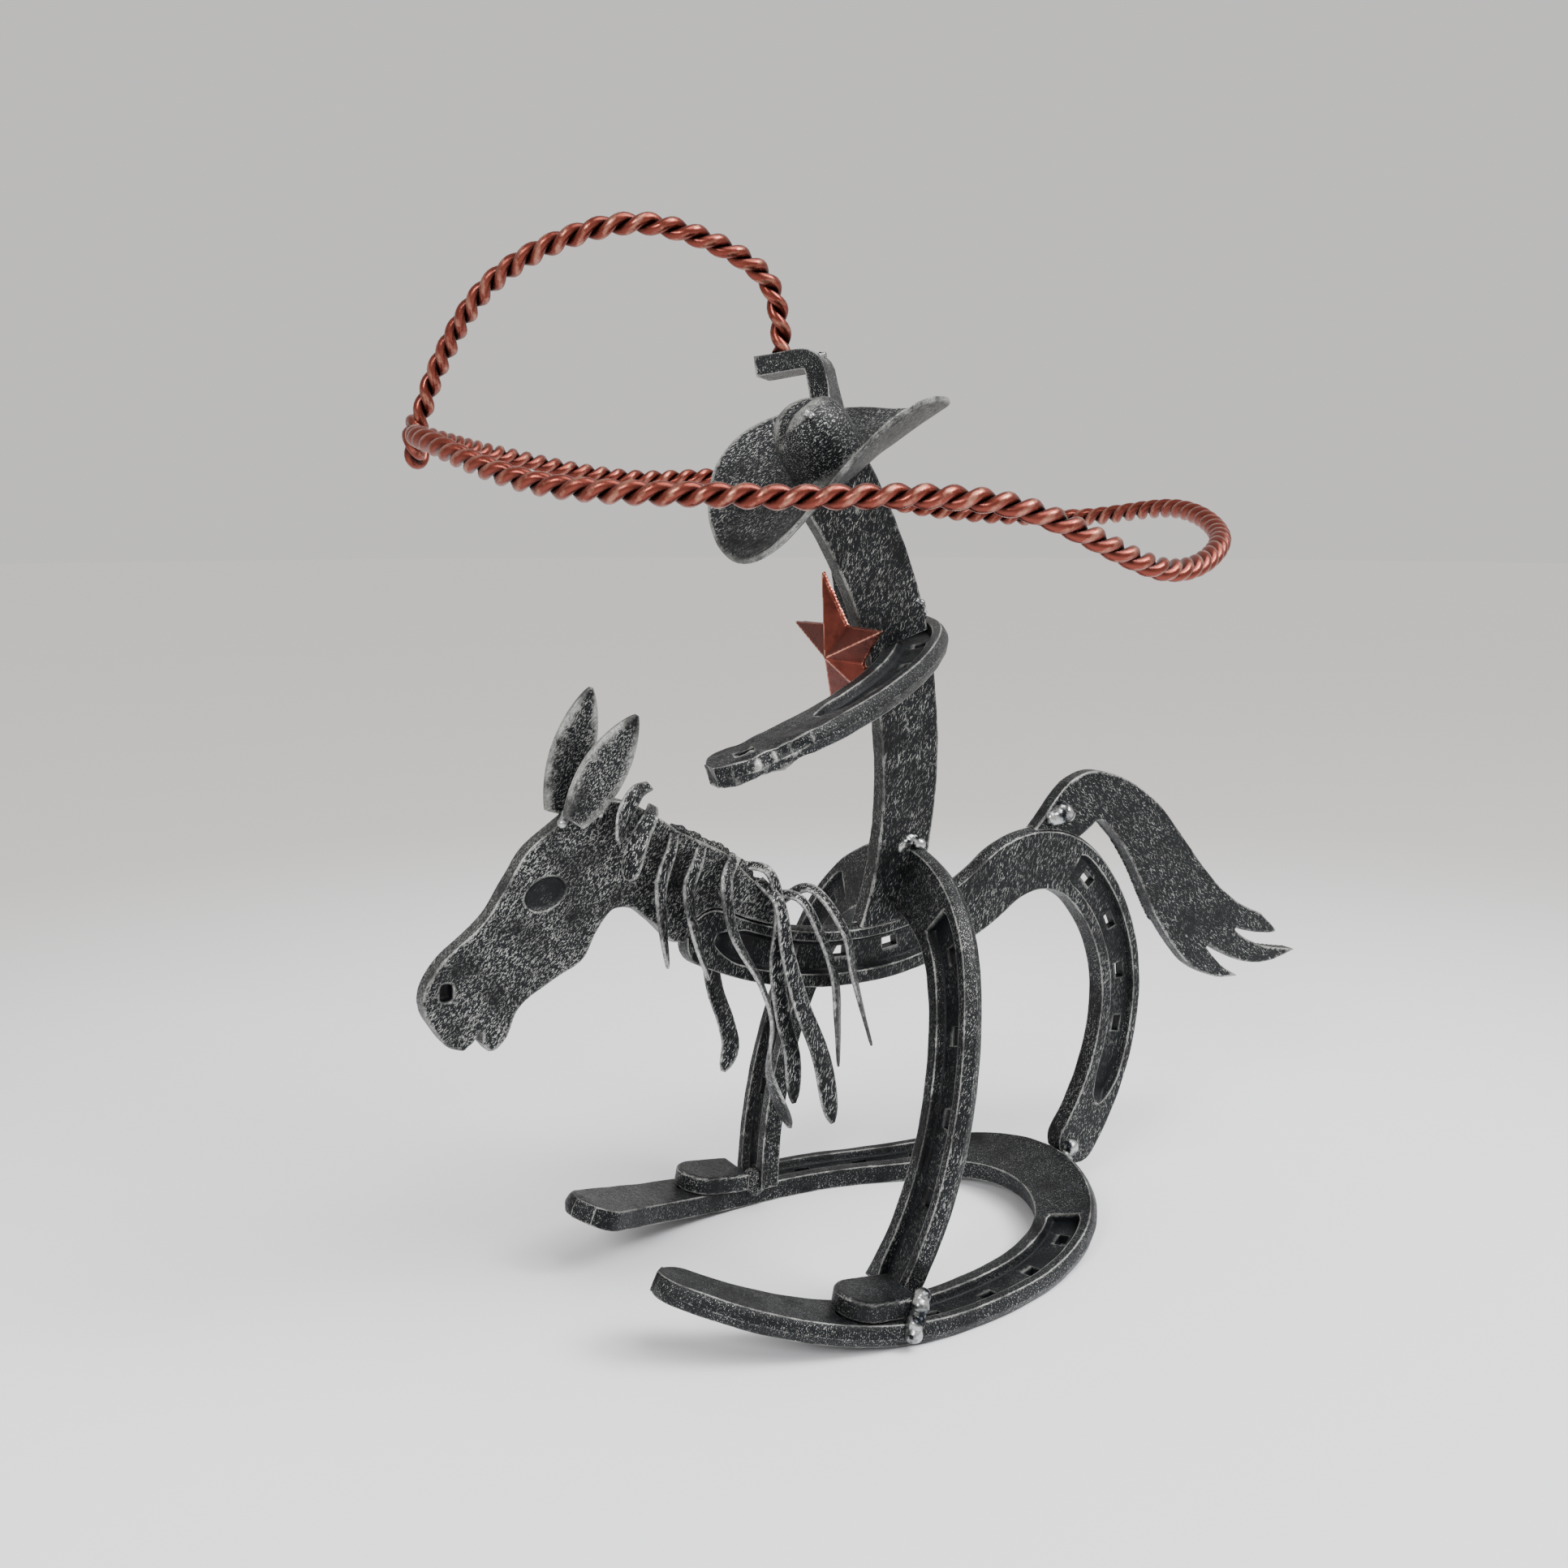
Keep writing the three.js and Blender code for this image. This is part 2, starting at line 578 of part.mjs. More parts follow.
// A closed disc of a given depth, in rings, turned about its middle and then curled like the brim
function curledDisc(long, wide, low, high) {
  const shares = [0, 0.4, 0.75, 1];
  const profile = [
    ...shares.map((share) => new THREE.Vector2(share, low)),
    ...[...shares].reverse().map((share) => new THREE.Vector2(share, high)),
  ];
  const disc = new THREE.LatheGeometry(profile, 28);
  return solid(reshape(disc, (x, y, z) => curl(x * long, z * wide, y)));
}

const brim = curledDisc(BRIM_LONG, BRIM_WIDE, -BRIM_THICK, 0);
const crownProfile = [[0, 0], [1, 0], [1, 0.45], [0.93, 0.68], [0.76, 0.86], [0.45, 0.97], [0, 1]];
const crownShape = new THREE.LatheGeometry(crownProfile.map(([r, h]) => new THREE.Vector2(r, h)), 18);
const crownDome = solid(reshape(crownShape, (x, y, z) => {
  const dent = 2.4 * Math.exp(-((z / 0.3) ** 2)) * (y > 0.9 ? 1 : 0);
  return curl(x * CROWN_LONG, z * CROWN_WIDE, y * CROWN_HIGH - dent);
}));
const crown = crownDome.subtract(curledDisc(BRIM_LONG, BRIM_WIDE, -2 * BRIM_THICK, GAP));

// Rider's trunk, trimmed to the belly, the legs, the arms and the hat
const trunkLine = arcPath(TRUNK_START, TRUNK_HEADING, TRUNK_RUNS);
const trunkReach = TRUNK_RUNS.reduce((sum, [length]) => sum + length, 0);
const trunkStations = stationsBetween(-TRUNK_EXTRA, trunkReach + TRUNK_EXTRA, 8);
const hatRoom = curledDisc(BRIM_LONG, BRIM_WIDE, -BRIM_THICK - GAP, 45);
const armClearance = armBar(GAP);
let trunk = forge(barSection(), trunkStations, (station, x, up) => {
  const along = Math.max(0, station);
  const point = trunkLine(along);
  const before = station - along;
  const half = (TRUNK_FOOT_WEB + (TRUNK_TOP_WEB - TRUNK_FOOT_WEB) * along / trunkReach) / 2;
  const px = point.x + Math.cos(point.angle) * before + Math.sin(point.angle) * half * x;
  const pz = point.y + Math.sin(point.angle) * before - Math.cos(point.angle) * half * x;
  return new THREE.Vector3(px, up - BAR / 2, pz);
});
trunk = trunk.subtract(bodyClearance).subtract(legClearance).subtract(armClearance).subtract(hatRoom);
trunk = largest(trunk);

// Five-pointed star of pressed sheet, hollow behind
function starCone(depth) {
  const profile = [[0, 0], [1, 0], [0, 1]].map(([r, h]) => new THREE.Vector2(r, h));
  const cone = new THREE.LatheGeometry(profile, 10);
  return solid(reshape(cone, (x, y, z) => {
    const angle = Math.atan2(x, z);
    const tip = Math.round(angle / (Math.PI / 5)) % 2 === 0;
    const reach = Math.hypot(x, z) * (tip ? STAR_REACH : STAR_WAIST);
    const sideways = reach * Math.sin(angle);
    const upwards = reach * Math.cos(angle);
    return new THREE.Vector3(-y * STAR_HIGH + depth, sideways, upwards);
  }));
}

const starPlace = new THREE.Matrix4().makeRotationY(-STAR_LEAN).setPosition(new THREE.Vector3(...STAR_PLACE));
const star = largest(starCone(0).subtract(starCone(STAR_SHEET)).transform(starPlace.elements)
  .subtract(armClearance));

// Lasso: the riser from the hand to the eye, and the loop round the rider
const LOOP_START = 2.6; // direction of the eye from the middle of the loop, radians
const LOOP_HEIGHTS = [240, 236.5, 224, 221, 219.5, 202.2, 209, 217.5, 214, 217, 229, 228.5, 235.5, 240];
const loopCurve = new THREE.CatmullRomCurve3(LOOP_HEIGHTS.map((height, i) => {
  const angle = LOOP_START + (2 * Math.PI - 0.02) * i / (LOOP_HEIGHTS.length - 1);
  return new THREE.Vector3(
    LOOP_MIDDLE[0] + LOOP_RADIUS * Math.cos(angle), LOOP_MIDDLE[1] + LOOP_RADIUS * Math.sin(angle), height);
}));
const riserStart = new THREE.Vector3(-12.3, 44.5, 265.6);
const riserEnd = loopCurve.getPoint(0).add(new THREE.Vector3(-1.1, 0.6, -WIRE));
// The riser's points, as shares of its way outwards, sideways and down to the loop
const riserCurve = new THREE.CatmullRomCurve3([
  [0, 0, 0], [0.065, -0.043, -0.53], [0.224, -0.068, -0.804], [0.509, -0.01, -1.014], [0.704, 0.168, -0.905],
  [0.881, 0.469, -0.527], [0.968, 0.822, 0.223], [0.998, 0.973, 0.764], [1, 1, 1],
].map(([out, aside, down]) => new THREE.Vector3(
  THREE.MathUtils.lerp(riserStart.x, riserEnd.x, out), THREE.MathUtils.lerp(riserStart.y, riserEnd.y, aside),
  THREE.MathUtils.lerp(riserStart.z, riserEnd.z, down))));

// Two wires twisted together, as one flat section that turns along the curve
function twistedRope(curve) {
  const length = curve.getLength();
  const steps = Math.round(length / HALF_TURN * TWIST_STEPS);
  const stations = Array.from({ length: steps + 1 }, (_, i) => i / steps);
  const wide = WIRE * 0.89;
  const thin = WIRE * 0.44;
  const section = polygon([[-wide, -thin], [wide, -thin], [wide, thin], [-wide, thin]]);
  return forge(section, stations, (share, x, y) => {
    const along = curve.getTangentAt(share);
    const side = new THREE.Vector3(0, 0, 1).cross(along).normalize();
    const over = along.clone().cross(side);
    const turn = -Math.PI * share * length / HALF_TURN;
    const out = x * Math.cos(turn) - y * Math.sin(turn);
    const rise = x * Math.sin(turn) + y * Math.cos(turn);
    return curve.getPointAt(share).addScaledVector(side, out).addScaledVector(over, rise);
  });
}

const lasso = twistedRope(riserCurve).add(twistedRope(loopCurve));

// Locks of the mane and forelock: thin blades, pointed at the tip and turned along their length
function lock(points, width, turns, clearance) {
  const curve = new THREE.CatmullRomCurve3(points.map((point) => new THREE.Vector3(...point)));
  const steps = 9;
  const stations = Array.from({ length: steps + 1 }, (_, i) => i / steps);
  const thin = 0.45 + clearance;
  const section = polygon([[-1, 0], [0, -thin], [1, 0], [0, thin]]);
  return forge(section, stations, (share, x, y) => {
    const along = curve.getTangentAt(share);
    const out = new THREE.Vector3(0, -0.8, 0.6);
    out.addScaledVector(along, -out.dot(along)).normalize();
    const side = along.clone().cross(out);
    const fade = 0.3 + 0.7 * Math.sin(Math.PI * Math.min(1, share * 0.86 + 0.12)) ** 0.7;
    const turn = turns * Math.PI * share;
    const half = width / 2 * fade + clearance;
    const a = x * half * Math.cos(turn) - y * Math.sin(turn);
    const b = x * half * Math.sin(turn) + y * Math.cos(turn);
    return curve.getPointAt(share).addScaledVector(side, a).addScaledVector(out, b);
  });
}

// Each lock: its points from the crest of the neck to the tip, then width and turn
const LOCKS = [
  ['forelock_1', [[-81.4, -3.8, 147.2], [-86.3, -6.5, 146.2], [-90.1, -7.5, 141], [-91.9, -7.5, 133.7]], 6, 0.3],
  ['forelock_2', [[-79, -1, 141], [-82.2, -6, 139.5], [-86.6, -7.5, 133], [-89.6, -7.5, 123.6]], 6, -0.3],
  ['mane_1', [[-72.2, 0, 135], [-75.8, -5.5, 130.5], [-79.8, -7, 121.5], [-79.9, -7.5, 110.6],
    [-78.7, -8, 98.7]], 5, 0.3],
  ['mane_2', [[-63.7, 0, 130.4], [-68.1, -5.5, 125.9], [-71.7, -7, 119.3], [-70.1, -7, 106.9],
    [-66.6, -8, 93.6]], 5.4, 0.3],
  ['mane_3', [[-57.7, 1, 126.9], [-55.7, 6.5, 119.1], [-58.2, 8.5, 103], [-57.4, 9, 96.4], [-55.2, 9.5, 84.2],
    [-51.6, 10, 74.2], [-50.1, 10, 66.2], [-52.6, 10, 59.4]], 6, 0],
  ['mane_4', [[-54.8, -2, 125], [-60.3, -7, 119.9], [-59.1, -8.5, 105.6], [-51.1, -9.5, 90], [-48.4, -10.5, 79.4],
    [-49.2, -10.5, 65.5], [-42.4, -10, 47.4]], 6.6, 0.5],
  ['mane_5', [[-52, 1, 121.8], [-46.3, -4.8, 120.6], [-43.1, -6, 108.6], [-44.2, -6, 93.7], [-42.4, -6.5, 78.4],
    [-39.5, -6.5, 67.2], [-38.9, -6.5, 52.7]], 5.4, 0],
  ['mane_6', [[-47.6, -2, 117.5], [-45, -8.5, 112.2], [-43, -9.5, 98.8], [-38.9, -10, 83.3], [-32, -10, 65.7],
    [-28.1, -10, 45.8]], 6.6, 0],
  ['mane_7', [[-43.5, -1, 112.8], [-37, -5.5, 112], [-29.8, -6.3, 99.9], [-25.5, -6.5, 87.4], [-24.7, -7, 74.3],
    [-24.3, -7, 61.1]], 5.4, 0.3],
  ['mane_8', [[-41, 1.5, 108.5], [-32, -3, 113.6], [-23.4, -8, 101.3], [-20.1, -8.5, 86.8],
    [-14.4, -9, 66.2]], 5.2, 0.3],
];
let room = upright(headOutline, BAR + 2 * GAP).add(bodyClearance);
for (const [name, points, width, turns] of LOCKS) {
  const blade = largest(lock(points, width, turns, 0).subtract(room));
  room = room.add(lock(points, width, turns, GAP));
  addPiece(name, blade, IRON);
}

addPiece('base_shoe', base, IRON);
addPiece('leg_shoe', legsAstride, IRON);
addPiece('near_boot', boot(-1), IRON);
addPiece('far_boot', boot(1), IRON);
addPiece('body_shoe', body, IRON);
addPiece('head', head, IRON);
addPiece('near_ear', ear([-102, 141.5], [-84.9, 166], 13, -1), IRON);
addPiece('far_ear', ear([-103.5, 143], [-93.5, 172.8], 12.5, 1), IRON);
addPiece('tail', tail, IRON);
addPiece('trunk', trunk, IRON);
addPiece('arm_shoe', arms, IRON);
addPiece('hat_brim', brim, IRON);
addPiece('hat_crown', crown, IRON);
addPiece('star', star, COPPER);
addPiece('lasso', lasso, COPPER);

// The origin is on the ground, at the middle of the flat spot under the near branch
let overFlat = 0;
while (BASE_TOE_X + baseLine(overFlat).x > 0) {
  overFlat += 0.1;
}
sculpture.position.y = baseLine(overFlat).y;

export default sculpture;
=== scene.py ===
"""A cowboy with a lasso on a bucking rocking horse, welded from old horseshoes, plate and twisted wire."""

import math

import bmesh
import bpy
import numpy as np
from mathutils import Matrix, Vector, noise
from mathutils.bvhtree import BVHTree


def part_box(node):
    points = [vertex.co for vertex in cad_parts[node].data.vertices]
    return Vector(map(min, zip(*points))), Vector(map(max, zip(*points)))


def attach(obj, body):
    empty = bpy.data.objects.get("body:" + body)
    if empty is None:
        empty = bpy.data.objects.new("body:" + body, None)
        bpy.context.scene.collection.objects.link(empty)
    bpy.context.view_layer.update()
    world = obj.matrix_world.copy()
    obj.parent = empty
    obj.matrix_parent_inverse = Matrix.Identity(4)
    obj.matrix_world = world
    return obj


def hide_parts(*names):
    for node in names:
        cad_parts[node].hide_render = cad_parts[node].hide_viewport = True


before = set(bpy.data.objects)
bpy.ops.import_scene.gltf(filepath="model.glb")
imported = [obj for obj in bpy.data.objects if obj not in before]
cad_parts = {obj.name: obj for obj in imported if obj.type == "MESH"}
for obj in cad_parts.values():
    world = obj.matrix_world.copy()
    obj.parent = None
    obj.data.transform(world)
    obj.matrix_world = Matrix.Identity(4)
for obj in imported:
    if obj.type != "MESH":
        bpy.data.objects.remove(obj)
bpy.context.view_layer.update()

# View and studio
# The sculpture stands on a pale floor in soft daylight from above, seen from before the horse's head, about
# as high as the brim of the hat. Sizes of pieces are in millimetres from the ground and the horse's middle
# plane, and those of the lights and the floor in metres.
trunk_low, trunk_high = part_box("trunk")
MIDDLE = (trunk_low.y + trunk_high.y) * 500


def metres(points):
    """Points in millimetres about the horse's middle plane, as metres in the frame."""
    return (np.asarray(points, float) + (0, MIDDLE, 0)) * 0.001


def linear(code):
    """A colour written as sRGB hex, as the linear values that the shaders take."""
    shares = [int(code[i : i + 2], 16) / 255 for i in (1, 3, 5)]
    return tuple(s / 12.92 if s <= 0.04045 else ((s + 0.055) / 1.055) ** 2.4 for s in shares) + (1.0,)


def feed(tree, node, inputs):
    """Links or sets the inputs of a node that are named."""
    for name, value in inputs.items():
        if isinstance(value, bpy.types.NodeSocket):
            tree.links.new(value, node.inputs[name])
        else:
            node.inputs[name].default_value = value


def add(tree, kind, settings=None, inputs=None):
    """Adds a node with its settings, and links or sets the inputs that are named."""
    node = tree.nodes.new(kind)
    for name, value in (settings or {}).items():
        setattr(node, name, value)
    feed(tree, node, inputs or {})
    return node


def new_paint(name):
    """A new material: its tree, its shader and the place on the piece that its patterns follow."""
    material = bpy.data.materials.new(name)
    material.use_nodes = True
    tree = material.node_tree
    return material, tree, tree.nodes["Principled BSDF"], add(tree, "ShaderNodeTexCoord").outputs["Object"]


camera = bpy.data.cameras.new("camera")
camera.sensor_width = 36
camera.lens = 36.53
viewpoint = bpy.data.objects.new("camera", camera)
turn, dip = 0.541, 0.176
heading = Vector((math.sin(turn) * math.cos(dip), math.cos(turn) * math.cos(dip), -math.sin(dip)))
viewpoint.location = metres((-260.83, -370.5, 219.98))
viewpoint.rotation_euler = heading.to_track_quat("-Z", "Y").to_euler()
bpy.context.scene.collection.objects.link(viewpoint)
bpy.context.scene.camera = viewpoint

bpy.ops.mesh.primitive_circle_add(vertices=96, radius=6, fill_type="NGON", location=(0, 0, 0))
floor = bpy.context.object
floor.name = "floor"
WHITE_REACH, GREY_REACH = 0.16, 0.75
# Vinyl scatters light evenly. White under the sculpture, it is given painted shade further out, greyer, so
# that it runs into the background
pale, tree, shader, place = new_paint("matt white vinyl sheet")
from_middle = add(tree, "ShaderNodeVectorMath", {"operation": "LENGTH"}, {0: place}).outputs["Value"]
painted_shade_far_out = add(tree, "ShaderNodeMapRange", {"interpolation_type": "SMOOTHSTEP"},
              {"Value": from_middle, "From Min": WHITE_REACH, "From Max": GREY_REACH}).outputs[0]
shaded_floor_tone = add(tree, "ShaderNodeMix", {"data_type": "RGBA"},
           {0: painted_shade_far_out, 6: linear("#e3e4e8"), 7: linear("#b3b1ae")}).outputs[2]
feed(tree, shader, {"Base Color": shaded_floor_tone, "Roughness": 0.6})
floor.data.materials.append(pale)

world = bpy.data.worlds.new("daylight")
world.use_nodes = True
world.node_tree.nodes["Background"].inputs["Color"].default_value = linear("#d9d7d5")
world.node_tree.nodes["Background"].inputs["Strength"].default_value = 1.1
bpy.context.scene.world = world
sun = bpy.data.lights.new("overcast sky", "SUN")
sun.angle = 0.9
sun.energy = 3.7
sky = bpy.data.objects.new("overcast sky", sun)
sky.rotation_euler = Vector((-0.35, 0.5, -1)).to_track_quat("-Z", "Y").to_euler()
bpy.context.scene.collection.objects.link(sky)
for name, place, size, power in (
    ("window", (0.55, -0.55, 0.9), 0.4, 11),
    ("lamp", (-0.85, -0.5, 0.7), 0.3, 8),
):
    light = bpy.data.lights.new(name, "AREA")
    light.size = size
    light.energy = power
    lamp = bpy.data.objects.new(name, light)
    lamp.location = place
    aim = Vector(metres((0, 0, 120))) - Vector(place)
    lamp.rotation_euler = aim.to_track_quat("-Z", "Y").to_euler()
    bpy.context.scene.collection.objects.link(lamp)

# Rocker base
# A worn horseshoe bent lengthwise, so that the horse stands on a rocker. Forged steel, painted near black
# and dry-brushed with silver, which stays on its edges and the marks of the hammer and not in its crease.
BAR, BAR_WIDTH = 6.0, 17.6
TOE_EXTRA, TOE_SPREAD = 2.4, 40
TOE_RADIUS = 41.0
TOE_ANGLE = 1.1
TOE_LENGTH = TOE_RADIUS * TOE_ANGLE
CREASE_DEPTH, CREASE_POINT = 2.6, 9
# Shares of the half width, from outside to inside, where the crease starts and its floor begins and ends
CREASE_ACROSS = (0.56, 0.44, -0.42, -0.52)
# Shares of the crease's length at which the nails go through
NAILS = (0.1, 0.3, 0.5, 0.7)
NAIL_LONG, NAIL_WIDE, NAIL_ACROSS = 5.2, 3.2, 1.2
# How deep the hammer and the rust have marked a forged bar, and the room left between welded pieces
FORGED = 0.16
GAP = 0.3


def web(distance):
    """Width of a shoe's bar at a distance from its toe."""
    return BAR_WIDTH + TOE_EXTRA * math.exp(-((distance / TOE_SPREAD) ** 2))


def shoe_line(branch_radius):
    """Centreline of a horseshoe: station 0 is the toe, and negative stations are the near branch."""

    def at(station):
        side = math.copysign(1, station)
        distance = abs(station)
        on_toe = distance <= TOE_LENGTH
        angle = distance / TOE_RADIUS if on_toe else TOE_ANGLE + (distance - TOE_LENGTH) / branch_radius
        radius = TOE_RADIUS if on_toe else branch_radius
        shift = 0 if on_toe else TOE_RADIUS - branch_radius
        x = shift * math.cos(TOE_ANGLE) + radius * math.cos(angle)
        y = shift * math.sin(TOE_ANGLE) + radius * math.sin(angle)
        return x, y * side, math.cos(angle), math.sin(angle) * side

    return at


def crease_at(station, start, end):
    """Width and depth, as shares, of a nail crease that starts squared and ends in a point."""
    along = (station - start) / (end - start)
    if not 0 <= along <= 1:
        return 0.0, 0.0
    length = abs(end - start)
    to_point = (1 - along) * length / CREASE_POINT
    width = min(1, 0.8 + along * length / 10, 0.1 + 0.9 * math.sqrt(min(1, to_point)))
    return width, min(1, to_point * 2)


def shoe_section(half, width=0.0, depth=0.0, clearance=0.0):
    """Corners of the bar's section, across and up, with its ridged outer side and its nail crease."""
    top = BAR + clearance
    crease = [(x * half, top) for x in CREASE_ACROSS]
    if width:
        floor_height = BAR - CREASE_DEPTH * depth
        shrink = [(0.02 + (x - 0.02) * width) * half for x in CREASE_ACROSS]
        crease = list(zip(shrink, (BAR, floor_height, floor_height, BAR)))
    outer = [(-half, -clearance), (0.87 * half, -clearance), (half, 0.42 * BAR)]
    return outer + [(0.94 * half, 0.8 * BAR), (0.86 * half, top)] + crease + [(-0.95 * half, top)]


def eased(corners, radius):
    """Each corner of a section turned into a small round, with a point on either side to keep it crisp."""
    points = np.array(corners, float)
    made = []
    for i, corner in enumerate(points):
        sides = []
        for other in (points[i - 1], points[(i + 1) % len(points)]):
            reach = other - corner
            length = max(1e-6, float(np.hypot(*reach)))
            sides.append((reach / length, length))
        (back, back_length), (ahead, ahead_length) = sides
        before = corner + back * min(radius, 0.3 * back_length)
        after = corner + ahead * min(radius, 0.3 * ahead_length)
        made.append(corner + back * min(3 * radius, 0.45 * back_length))
        made.append(before)
        made.append(0.25 * before + 0.5 * corner + 0.25 * after)
        made.append(after)
        made.append(corner + ahead * min(3 * radius, 0.45 * ahead_length))
    return made


def mesh_object(name, points, faces):
    """A mesh in the frame from points in millimetres, with its faces turned outward."""
    mesh = bpy.data.meshes.new(name)
    mesh.from_pydata([tuple(p) for p in metres(points)], [], faces)
    shape = bmesh.new()
    shape.from_mesh(mesh)
    bmesh.ops.remove_doubles(shape, verts=shape.verts, dist=2e-6)
    bmesh.ops.dissolve_degenerate(shape, edges=shape.edges, dist=1e-6)
    bmesh.ops.recalc_face_normals(shape, faces=shape.faces)
    if shape.calc_volume(signed=True) < 0:
        bmesh.ops.reverse_faces(shape, faces=shape.faces)
    shape.to_mesh(mesh)
    shape.free()
    piece = bpy.data.objects.new(name, mesh)
    bpy.context.scene.collection.objects.link(piece)
    return piece


def wrapped(name, rings):
    """A closed mesh over rings of corners that follow each other, with a face at each end."""
    count = len(rings[0])
    points = [corner for ring in rings for corner in ring]
    faces = [tuple(range(count)), tuple(range(len(points) - count, len(points)))[::-1]]
    for i in range(len(rings) - 1):
        for j in range(count):
            k = (j + 1) % count
            faces.append((i * count + j, (i + 1) * count + j, (i + 1) * count + k, i * count + k))
    return mesh_object(name, points, faces)


def forge(name, stations, section, place, radius=0.42):
    """A bar drawn out along its stations: section(station) gives its corners, place sets each one."""
    rings = []
    for station in stations:
        rings.append([place(station, across, up) for across, up in eased(section(station), radius)])
    for end in (0, -1):
        middle = np.mean(rings[end], axis=0)
        inner = [middle + (np.array(corner) - middle) * 0.8 for corner in rings[end]]
        rings.insert(0 if end == 0 else len(rings), inner)
    return wrapped(name, rings)


def rounded_share(distance, reach):
    """Share of the full width that is left near a rounded heel."""
    if reach <= 0 or distance >= reach:
        return 1.0
    share = 1 - max(0.0, distance) / reach
    return max(0.38, math.sqrt(1 - share * share))


def shoe(name, start, end, place, from_toe, creases=(), rounds=(7, 7), clearance=0.0, pitch=1.5):
    """A horseshoe's bar between two stations, with its creases."""
    start, end = start - clearance, end + clearance
    stations = list(np.linspace(start, end, int((end - start) / pitch)))
    for reach, heel, side in ((rounds[0], start, 1), (rounds[1], end, -1)):
        stations += [heel + side * reach * share for share in (0.03, 0.08, 0.15, 0.25, 0.4, 0.6) if reach]
    for first, last in creases:
        step = math.copysign(0.3, last - first)
        stations += [first - step * 0.1, first + step, first + 4 * step, last - 3 * step, last]
    stations = sorted(set(round(s, 3) for s in stations))

    def section(station):
        ends = rounded_share(station - start, rounds[0]) * rounded_share(end - station, rounds[1])
        half = web(from_toe(station)) / 2 * ends + clearance
        width, depth = 0.0, 0.0
        for first, last in creases:
            width, depth = max((width, depth), crease_at(station, first, last))
        corners = shoe_section(half, width, depth, clearance)
        thin = 0.86 + 0.14 * ends
        return [(across, BAR / 2 + (up - BAR / 2) * thin) for across, up in corners]

    return forge(name, stations, section, place)


def punch(name, corners, place, levels=(-1, 1, 1.8, 7)):
    """A punch through the bar, with a ring of corners just inside each of its faces."""
    return wrapped(name, [[place(station, across, up) for station, across in corners] for up in levels])


def nail_holes(creases, place, shares=NAILS):
    """Square punches that go through the bar along its creases."""
    punches = []
    for first, last in creases:
        for share in shares:
            middle = first + (last - first) * share
            long, wide = NAIL_LONG / 2, NAIL_WIDE / 2
            square = ((-long, -wide), (long, -wide), (long, wide), (-long, wide))
            punches.append(punch("nail_punch", [(middle + x, NAIL_ACROSS + y) for x, y in square], place))
    return punches


def cut(piece, cutters, rooms=()):
    """Cuts shapes out of a piece and keeps its main body: cutters are used up, rooms stay for others."""
    for cutter in [*cutters, *rooms]:
        knife = piece.modifiers.new("cut", "BOOLEAN")
        knife.object = cutter
        knife.operation = "DIFFERENCE"
        knife.solver = "EXACT"
    ready = piece.evaluated_get(bpy.context.evaluated_depsgraph_get())
    mesh = bpy.data.meshes.new_from_object(ready)
    piece.modifiers.clear()
    for cutter in cutters:
        bpy.data.objects.remove(cutter)
    shape = bmesh.new()
    shape.from_mesh(mesh)
    left = set(shape.verts)
    bodies = []
    while left:
        grown = [left.pop()]
        body = set(grown)
        while grown:
            for edge in grown.pop().link_edges:
                for vert in edge.verts:
                    if vert in left:
                        left.discard(vert)
                        body.add(vert)
                        grown.append(vert)
        bodies.append(body)
    bodies.sort(key=lambda body: sum(f.calc_area() for v in body for f in v.link_faces))
    for body in bodies[:-1]:
        bmesh.ops.delete(shape, geom=list(body), context="VERTS")
    shape.to_mesh(mesh)
    shape.free()
    piece.data = mesh
    return piece


